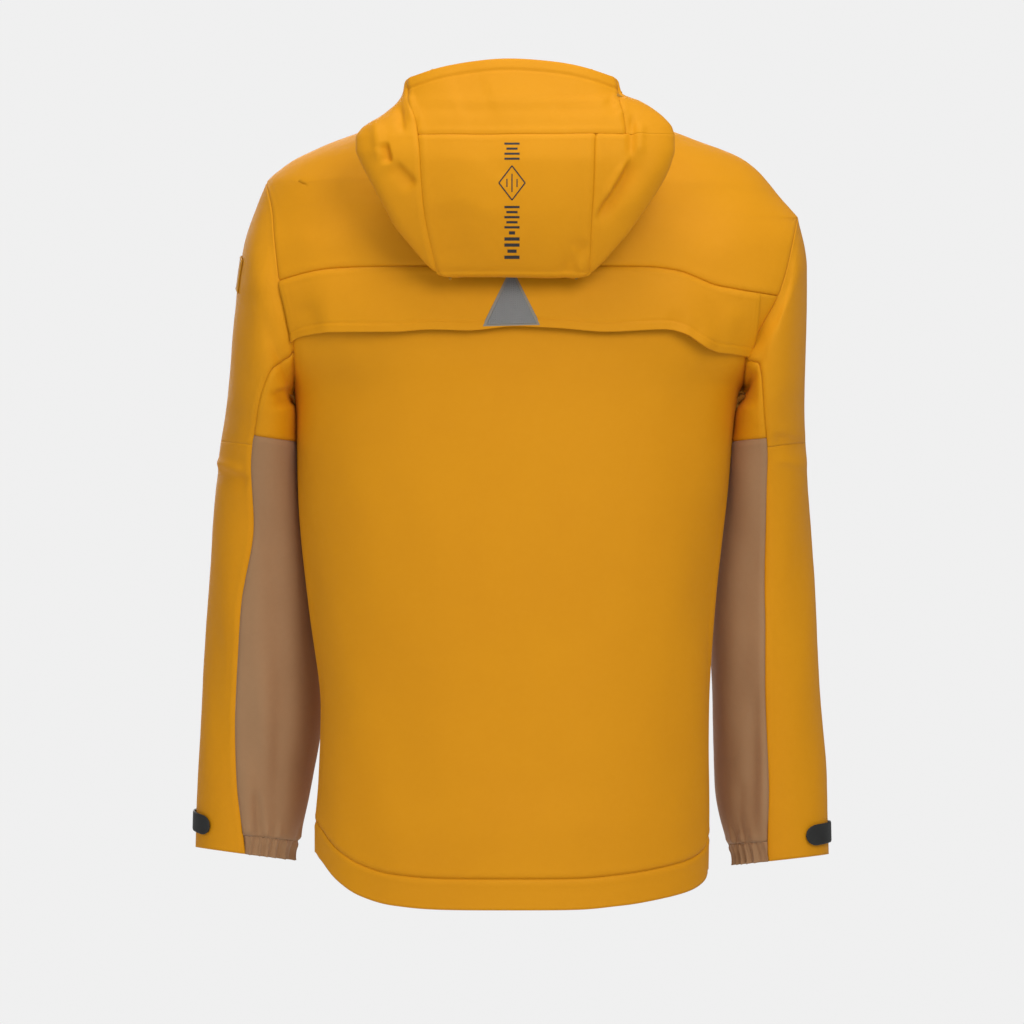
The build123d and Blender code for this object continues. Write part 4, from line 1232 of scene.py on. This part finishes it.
def make_cuff(side, name):
    tip = 136 if side == LEFT else 149
    start, slope = (8.595, 0.0015) if side == LEFT else (8.68, 0.0006)
    place = lambda turn: start + slope * (turn - 90)
    p, outward = sleeve_pad(side, (42, tip), place, 10.2, 3.4, 90, 30, tip=0.14)
    tab = patch_object(f"cuff_tab_cloth_{name}", p, flip=outward < 0)
    thicken(tab, 2.0, inner=0)
    dress(tab, "moulded_black", f"cuff_tab_{name}", MOULDED, replaces=(f"cuff_tab_{name}",))
    p, outward = sleeve_pad(side, (50, tip - 18), place, 8.6, 1.0, 60, 20)
    loops = patch_object(f"cuff_loop_patch_cloth_{name}", p, flip=outward < 0)
    thicken(loops, 0.7, inner=0)
    dress(loops, "tape_black", f"forearm_{name}", TAPE, replaces=(f"cuff_loop_patch_{name}",))
    seam = lambda t: sleeve_row(side, t)[6]
    p, t, turn = sleeve_grid(side, GATHER + 0.05, 8.96, seam, lambda t: 540 - seam(t), 220, 8)
    normal = grid_normals(p)
    away = p - np.stack([np.full_like(t, side * 262.0), np.full_like(t, -70.0), p[..., 2]], axis=-1)
    outward = facing_out(normal, away)
    p = p + normal * ((-5.2 + 0.5 * np.sin(np.radians(turn) * 26)) * outward)[..., None]
    elastic = patch_object(f"cuff_elastic_cloth_{name}", p, flip=outward < 0)
    thicken(elastic, 0.8, inner=0)
    dress(elastic, "elastic", f"forearm_{name}", TAPE, replaces=(f"cuff_elastic_{name}",))


def make_badge():
    """A plain tonal badge on the outside of the left upper sleeve, with a raised border and no mark."""
    p, outward = sleeve_pad(LEFT, (62, 112), lambda turn: 1.375 + 0 * turn, 15.0, 1.4, 70, 40)
    su, eu, sv, ev = grid_distances(p)
    edge = np.minimum(np.minimum(su, eu), np.minimum(sv, ev))
    border = 0.5 * np.exp(-(((edge - 2.0) / 0.9) ** 2))
    p = p + grid_normals(p) * (border * outward)[..., None]
    badge = patch_object("sleeve_badge_cloth", p, flip=outward < 0)
    thicken(badge, 0.7, inner=0)
    dress(badge, "shell_ochre", None, THREAD, replaces=("sleeve_badge_left",))
    blend_shoulder(badge)


# ---------------------------------------------------------------- collar and hood neck
def surface_height(x, y):
    """Height at which the torso's surface passes over a point in plan."""
    low, high = np.full_like(x, 620.0), np.full_like(x, 804.0)
    for _ in range(26):
        middle = (low + high) / 2
        left, right, back, front = torso_halves(middle)
        r = (x / np.where(x > 0, left, right)) ** 2 + (y / np.where(y > 0, back, front)) ** 2
        low, high = np.where(r < 1, middle, low), np.where(r < 1, high, middle)
    return (low + high) / 2


def neck_band(name, grow, foot, head, turns, roll, node_names, materials, slot, inside=0.0, wall=CLOTH):
    """A band round the neck from foot to head; roll turns its top edge in and inside carries it down."""
    turn = np.asarray(turns, float)
    rows = []
    for k in range(26):
        x, y = neck_line(turn, grow)
        z = foot(turn) + (head(turn) - roll - foot(turn)) * k / 25
        rows.append(np.stack([x, y, z], axis=-1))
    for k in range(1, 9):
        angle = math.pi * k / 8
        x, y = neck_line(turn, grow - roll * (1 - math.cos(angle)))
        rows.append(np.stack([x, y, head(turn) - roll + roll * math.sin(angle)], axis=-1))
    for k in range(1, 5):
        x, y = neck_line(turn, grow - 2 * roll)
        rows.append(np.stack([x, y, head(turn) - roll - inside * k / 4], axis=-1))
    p = np.stack(rows, axis=1)
    normal = grid_normals(p)
    away = p[len(turn) // 2, 5] - [0, NECK[2], p[len(turn) // 2, 5][2]]
    outward = np.sign(np.sum(normal[len(turn) // 2, 5] * away))
    amount = 0.35 * SOFT(p) + 0.05 * FINE(p) + 0.25 * BROAD(p)
    radial = np.stack([p[..., 0], p[..., 1] - NECK[2], np.zeros_like(p[..., 0])], axis=-1)
    radial /= np.linalg.norm(radial, axis=-1, keepdims=True)
    p = p + radial * amount[..., None]
    obj = patch_object("cloth_" + name, p, flip=outward < 0)
    thicken(obj, wall)
    dress(obj, slot, "torso", *materials, replaces=node_names)
    return obj


def make_neck():
    gap = math.degrees(math.asin(15 / NECK[0]))
    foot, head = wave(729, 798, 775), wave(796, 838, 820)
    turns = np.linspace(gap, 360 - gap, 200)
    neck_band(
        "collar_outer", 1.9, foot, head, turns, 1.7, ("collar_outer",), (OCHRE, BACKER), "shell_ochre", 14,
    )
    below = lambda turn: head(turn) - 9
    neck_band(
        "collar_lining", -2.6, foot, below, turns, 0.5, ("collar_lining",), (BACKER, OCHRE), "lining", 3, 0.7,
    )

    def wing_foot(turn):
        x, y = neck_line(turn, 10.5)
        return np.maximum(wave(735, 800, 768)(turn), surface_height(x, y) - 1.0)

    for name, a, b in (("left", 26, 180), ("right", 180, 334)):
        turns = np.linspace(a, b, 130)
        neck_band(f"hood_neck_{name}", 10.5, wing_foot, neck_head, turns, 1.6, (f"hood_neck_{name}",),
                  (OCHRE, BACKER), "shell_ochre", 10)
    bow = lambda turn: -3.8 - 10.4 * np.maximum(0, np.cos(np.radians((turn - 180) / 22 * 90))) ** 0.6
    turn = np.linspace(158, 202, 80)
    loop = []
    for k in range(12):
        x, y = neck_line(turn, bow(turn) + 0.25 * math.sin(k * 0.9))
        loop.append(np.stack([x, y, np.full_like(x, 786 + 12 * k / 11)], axis=-1))
    for k in range(2):
        x, y = neck_line(np.linspace(152, 208, 80), -3.6)
        loop.append(np.stack([x, y, np.full_like(x, 783 + 18 * k)], axis=-1))
    hang = patch_object("hang_loop_tape", np.stack(loop[:12], axis=1))
    thicken(hang, 1.2, inner=0)
    dress(hang, "tape_black", "torso", TAPE, replaces=("hang_loop",))
    backing = patch_object("hang_loop_backing", np.stack(loop[12:], axis=1))
    thicken(backing, 0.8, inner=0)
    dress(backing, "tape_black", "torso", TAPE)


# ---------------------------------------------------------------- zips, linings and small cloth
def zip_y(z):
    return -(130 - 0.052 * z)


def helix(name, start, end, radius, pitch, wire, sides=6):
    """A nylon coil from start to end, as a tube wound on a flattened helix."""
    start, end = np.array(start, float), np.array(end, float)
    along = end - start
    length = np.linalg.norm(along)
    along /= length
    across = np.cross(along, [0, 1, 0])
    across /= np.linalg.norm(across)
    out = np.cross(across, along)
    turns = int(length / pitch)
    n = turns * 8
    a = np.linspace(0, 2 * math.pi * turns, n)
    centre = start + np.outer(np.linspace(0, length, n), along)
    centre = centre + np.outer(np.cos(a) * radius, across) + np.outer(np.sin(a) * radius * 0.7, out)
    tangent = np.gradient(centre, axis=0)
    tangent /= np.linalg.norm(tangent, axis=1, keepdims=True)
    e1 = np.cross(tangent, along)
    e1 /= np.linalg.norm(e1, axis=1, keepdims=True)
    e2 = np.cross(tangent, e1)
    b = np.linspace(0, 2 * math.pi, sides, endpoint=False)
    spokes = np.cos(b)[None, :, None] * e1[:, None] + np.sin(b)[None, :, None] * e2[:, None]
    ring = centre[:, None] + wire * spokes
    index = np.arange(n * sides).reshape(n, sides)
    right = np.roll(index, -1, axis=1)
    faces = np.stack([index[:-1], right[:-1], right[1:], index[1:]], axis=-1).reshape(-1, 4).tolist()
    faces += [index[0][::-1].tolist(), index[-1].tolist()]
    return mesh_object(name, ring.reshape(-1, 3), faces)


def make_front():
    """The main zip: tapes, coils, the placket behind it and the guard over its head."""
    z = np.linspace(66, 786, 260)
    for side, name in SIDES:
        rows = []
        for x in np.linspace(1.0, 15.6, 12):
            y = zip_y(z) - 0.3 + 0.25 * np.sin(z / 31 + x) + 0.9 * smoothstep((x - 11) / 4)
            rows.append(np.stack([np.full_like(z, side * x), y, z], axis=-1))
        tape = patch_object(f"main_zip_tape_cloth_{name}", np.stack(rows, axis=0), flip=side == RIGHT)
        thicken(tape, 0.9, inner=0)
        dress(tape, "zip_tape", "torso", ZIP_TAPE, replaces=(f"main_zip_tape_{name}",))
        x = side * 2.1
        foot, head = ((x, zip_y(height) - 0.9, height) for height in (74, 786))
        coil = helix(f"main_zip_coil_wound_{name}", foot, head, 1.25, 1.7, 0.42)
        dress(coil, "zip_coil", "torso", COIL, replaces=(f"main_zip_coil_{name}",))
    for name, x0, x1, depth, foot, head in (
        ("storm_placket", -22, 16, 6.9, 64, 716),
        ("chin_guard", -13, 13, 5.4, 762, 792),
    ):
        z = np.linspace(foot, head, 160)
        rows = []
        for x in np.linspace(x0, x1, 24):
            y = zip_y(z) + depth + 0.5 * np.sin(z / 43 + x / 9) + 0.2 * np.sin(z / 11 + x)
            rows.append(np.stack([np.full_like(z, x), y, z], axis=-1))
        flap = patch_object("cloth_" + name, np.stack(rows, axis=0))
        thicken(flap, 0.9)
        dress(flap, "lining", "torso", BACKER, OCHRE, replaces=(name,))


def make_pocket_zips():
    """Each hand pocket's tapes, lying in the front panel's slot, with the coil wound along their middle."""
    for side, name in SIDES:
        middle, e1, e2, e3 = pocket_frame(side)
        u, v = np.meshgrid(np.linspace(-7.0, 7.0, 29), np.linspace(-80.5, 80.5, 180), indexing="ij")

        def sunk(u, v, depth):
            p = middle + u[..., None] * e1 + v[..., None] * e3
            left, right, _, front = torso_halves(p[..., 2])
            half = left if side == LEFT else right
            p[..., 1] = -front * np.sqrt(1 - (p[..., 0] / half) ** 2)
            return p - depth[..., None] * e2

        lines = 0.25 * np.exp(-(((np.abs(u) - 3.4) / 0.5) ** 2)) + 0.5 * np.exp(-((u / 0.5) ** 2))
        p = sunk(u, v, 3.1 + lines + 0.15 * np.sin(v / 13))
        outward = np.sign(np.sum(grid_normals(p)[14, 90] * e2))
        tape = patch_object(f"pocket_zip_tape_cloth_{name}", p, flip=outward < 0)
        thicken(tape, 0.7, inner=0)
        dress(tape, "zip_tape", "torso", ZIP_TAPE, replaces=(f"pocket_zip_tape_{name}",))
        ends = sunk(np.zeros(2), np.array([-79.0, 79.0]), np.array([2.2, 2.2]))
        bow = sunk(np.zeros(1), np.zeros(1), np.array([2.2]))[0] - ends.mean(axis=0)
        coil = helix(f"pocket_zip_coil_wound_{name}", ends[0], ends[1], 1.15, 1.5, 0.38)
        co = np.zeros(len(coil.data.vertices) * 3)
        coil.data.vertices.foreach_get("co", co)
        q = co.reshape(-1, 3) * 1000 + ORIGIN
        along = np.clip((q - ends[0]) @ (ends[1] - ends[0]) / np.sum((ends[1] - ends[0]) ** 2), 0, 1)
        q += (4 * along * (1 - along))[:, None] * bow
        coil.data.vertices.foreach_set("co", to_frame(q).ravel())
        dress(coil, "zip_coil", "torso", COIL)


def soften(node, material, slot, body="torso", amplitude=0.35, step=6.0):
    """A thin CAD piece made into cloth: cut fine, then rippled through its whole thickness."""
    source = frame["nodes"][node]
    bm = bmesh.new()
    bm.from_mesh(source.data)
    bm.transform(source.matrix_world)
    bmesh.ops.remove_doubles(bm, verts=bm.verts, dist=1e-6)
    for _ in range(7):
        long = [e for e in bm.edges if e.calc_length() > step * 0.001]
        if not long:
            break
        bmesh.ops.subdivide_edges(bm, edges=long, cuts=1)
        bmesh.ops.triangulate(bm, faces=bm.faces[:])
    mesh = bpy.data.meshes.new("cloth_" + node)
    bm.to_mesh(mesh)
    bm.free()
    co = np.zeros(len(mesh.vertices) * 3)
    mesh.vertices.foreach_get("co", co)
    p = co.reshape(-1, 3) * 1000 + ORIGIN
    push = np.stack([SOFT(p), SOFT(p + 90), 0.3 * FINE(p)], axis=-1) * amplitude
    mesh.vertices.foreach_set("co", to_frame(p + push).ravel())
    mesh.update()
    layer = mesh.uv_layers.new(name="cloth")
    index = np.zeros(len(mesh.loops), int)
    mesh.loops.foreach_get("vertex_index", index)
    flat = np.stack([p[:, 0] + 0.7 * p[:, 1], p[:, 2]], axis=-1) * 0.001
    layer.data.foreach_set("uv", flat[index].astype(np.float32).ravel())
    obj = bpy.data.objects.new("cloth_" + node, mesh)
    bpy.context.scene.collection.objects.link(obj)
    return dress(obj, slot, body, material, replaces=(node,))


def make_small_cloth():
    for node, material, slot in (
        ("hem_facing", BACKER, "lining"),
        ("hem_drawcord", TAPE, "elastic"),
        ("neck_label", TAPE, "tape_black"),
        ("vent_mesh", DARK_BACKER, "mesh"),
        ("pocket_bag_left", BACKER, "lining"),
        ("pocket_bag_right", BACKER, "lining"),
    ):
        soften(node, material, slot)


# ---------------------------------------------------------------- camera, light and floor
def make_stage():
    scene = bpy.context.scene
    camera = bpy.data.objects.new("camera", bpy.data.cameras.new("camera"))
    scene.collection.objects.link(camera)
    distance, view_width, aim_height = 20000.0, 1024.0, 396.0
    camera.data.sensor_width = 36.0
    camera.data.lens = 36.0 * distance / view_width
    camera.data.clip_end = 60.0
    camera.location = to_frame([0, distance, aim_height])
    camera.rotation_euler = (math.pi / 2, 0, math.pi)
    scene.camera = camera
    scene.view_settings.view_transform = "Standard"

    world = bpy.data.worlds.new("studio")
    world.use_nodes = True
    scene.world = world
    tree = world.node_tree
    seen, lit = tree.nodes["Background"], tree.nodes.new("ShaderNodeBackground")
    path, mixer = tree.nodes.new("ShaderNodeLightPath"), tree.nodes.new("ShaderNodeMixShader")
    seen.inputs["Color"].default_value = (0.87, 0.87, 0.87, 1)
    lit.inputs["Color"].default_value = (1, 1, 1, 1)
    lit.inputs["Strength"].default_value = 0.34
    tree.links.new(path.outputs["Is Camera Ray"], mixer.inputs[0])
    tree.links.new(lit.outputs[0], mixer.inputs[1])
    tree.links.new(seen.outputs[0], mixer.inputs[2])
    tree.links.new(mixer.outputs[0], tree.nodes["World Output"].inputs["Surface"])

    lights = (
        ("key", (-1100, 2500, 1900), 1.6, 40.0),
        ("fill", (1800, 2300, 700), 2.2, 15.0),
        ("top", (0, 500, 2500), 1.4, 22.0),
        ("front", (600, -2600, 1400), 2.4, 40.0),
    )
    for name, place, size, power in lights:
        light = bpy.data.lights.new(name, "AREA")
        light.shape, light.size, light.energy = "DISK", size, power
        obj = bpy.data.objects.new(name, light)
        obj.location = to_frame(place)
        aim = to_frame([0, 0, 450]) - np.array(obj.location)
        obj.rotation_euler = direction_euler(aim)
        scene.collection.objects.link(obj)

    rings, spokes, radius = 3, 96, 4000
    points = [(0, 0, -640)]
    for k in range(1, rings + 1):
        for n in range(spokes):
            a = 2 * math.pi * n / spokes
            points.append((radius * k / rings * math.cos(a), radius * k / rings * math.sin(a), -640))
    faces = [(0, 1 + n, 1 + (n + 1) % spokes) for n in range(spokes)]
    for k in range(rings - 1):
        base, above = 1 + k * spokes, 1 + (k + 1) * spokes
        for n in range(spokes):
            after = (n + 1) % spokes
            faces.append((base + n, above + n, above + after, base + after))
    floor = mesh_object("floor", np.array(points, float), faces)
    paint = moulded_material("floor_paint", (0.82, 0.82, 0.82), (0.78, 0.78, 0.78), 0.8, 40.0)
    floor.data.materials.append(paint)


def direction_euler(aim):
    return Vector(aim).to_track_quat("-Z", "Y").to_euler()


make_stage()
make_torso()
for side, name in SIDES:
    make_sleeve(side, name)
    make_underarm_lining(side, name)
    make_cuff(side, name)
make_badge()
make_hood()
make_flap()
make_marks()
make_neck()
make_front()
make_pocket_zips()
make_small_cloth()

CAD_MATERIALS = {
    "shell_ochre": OCHRE,
    "shell_brown": BROWN,
    "cuff_fabric": BROWN,
    "lining": BACKER,
    "mesh": DARK_BACKER,
    "zip_tape": ZIP_TAPE,
    "zip_coil": COIL,
    "zip_metal": METAL,
    "moulded_black": MOULDED,
    "reflective_grey": REFLECTIVE,
    "tape_black": TAPE,
    "elastic": TAPE,
    "stiffener": CLEAR_SHEET,
}
slot_of = {entry["node"]: entry["material_slot"] for entry in frame["record"]["subparts"]}
for node, obj in frame["nodes"].items():
    obj.data.materials.clear()
    obj.data.materials.append(CAD_MATERIALS[slot_of[node]])
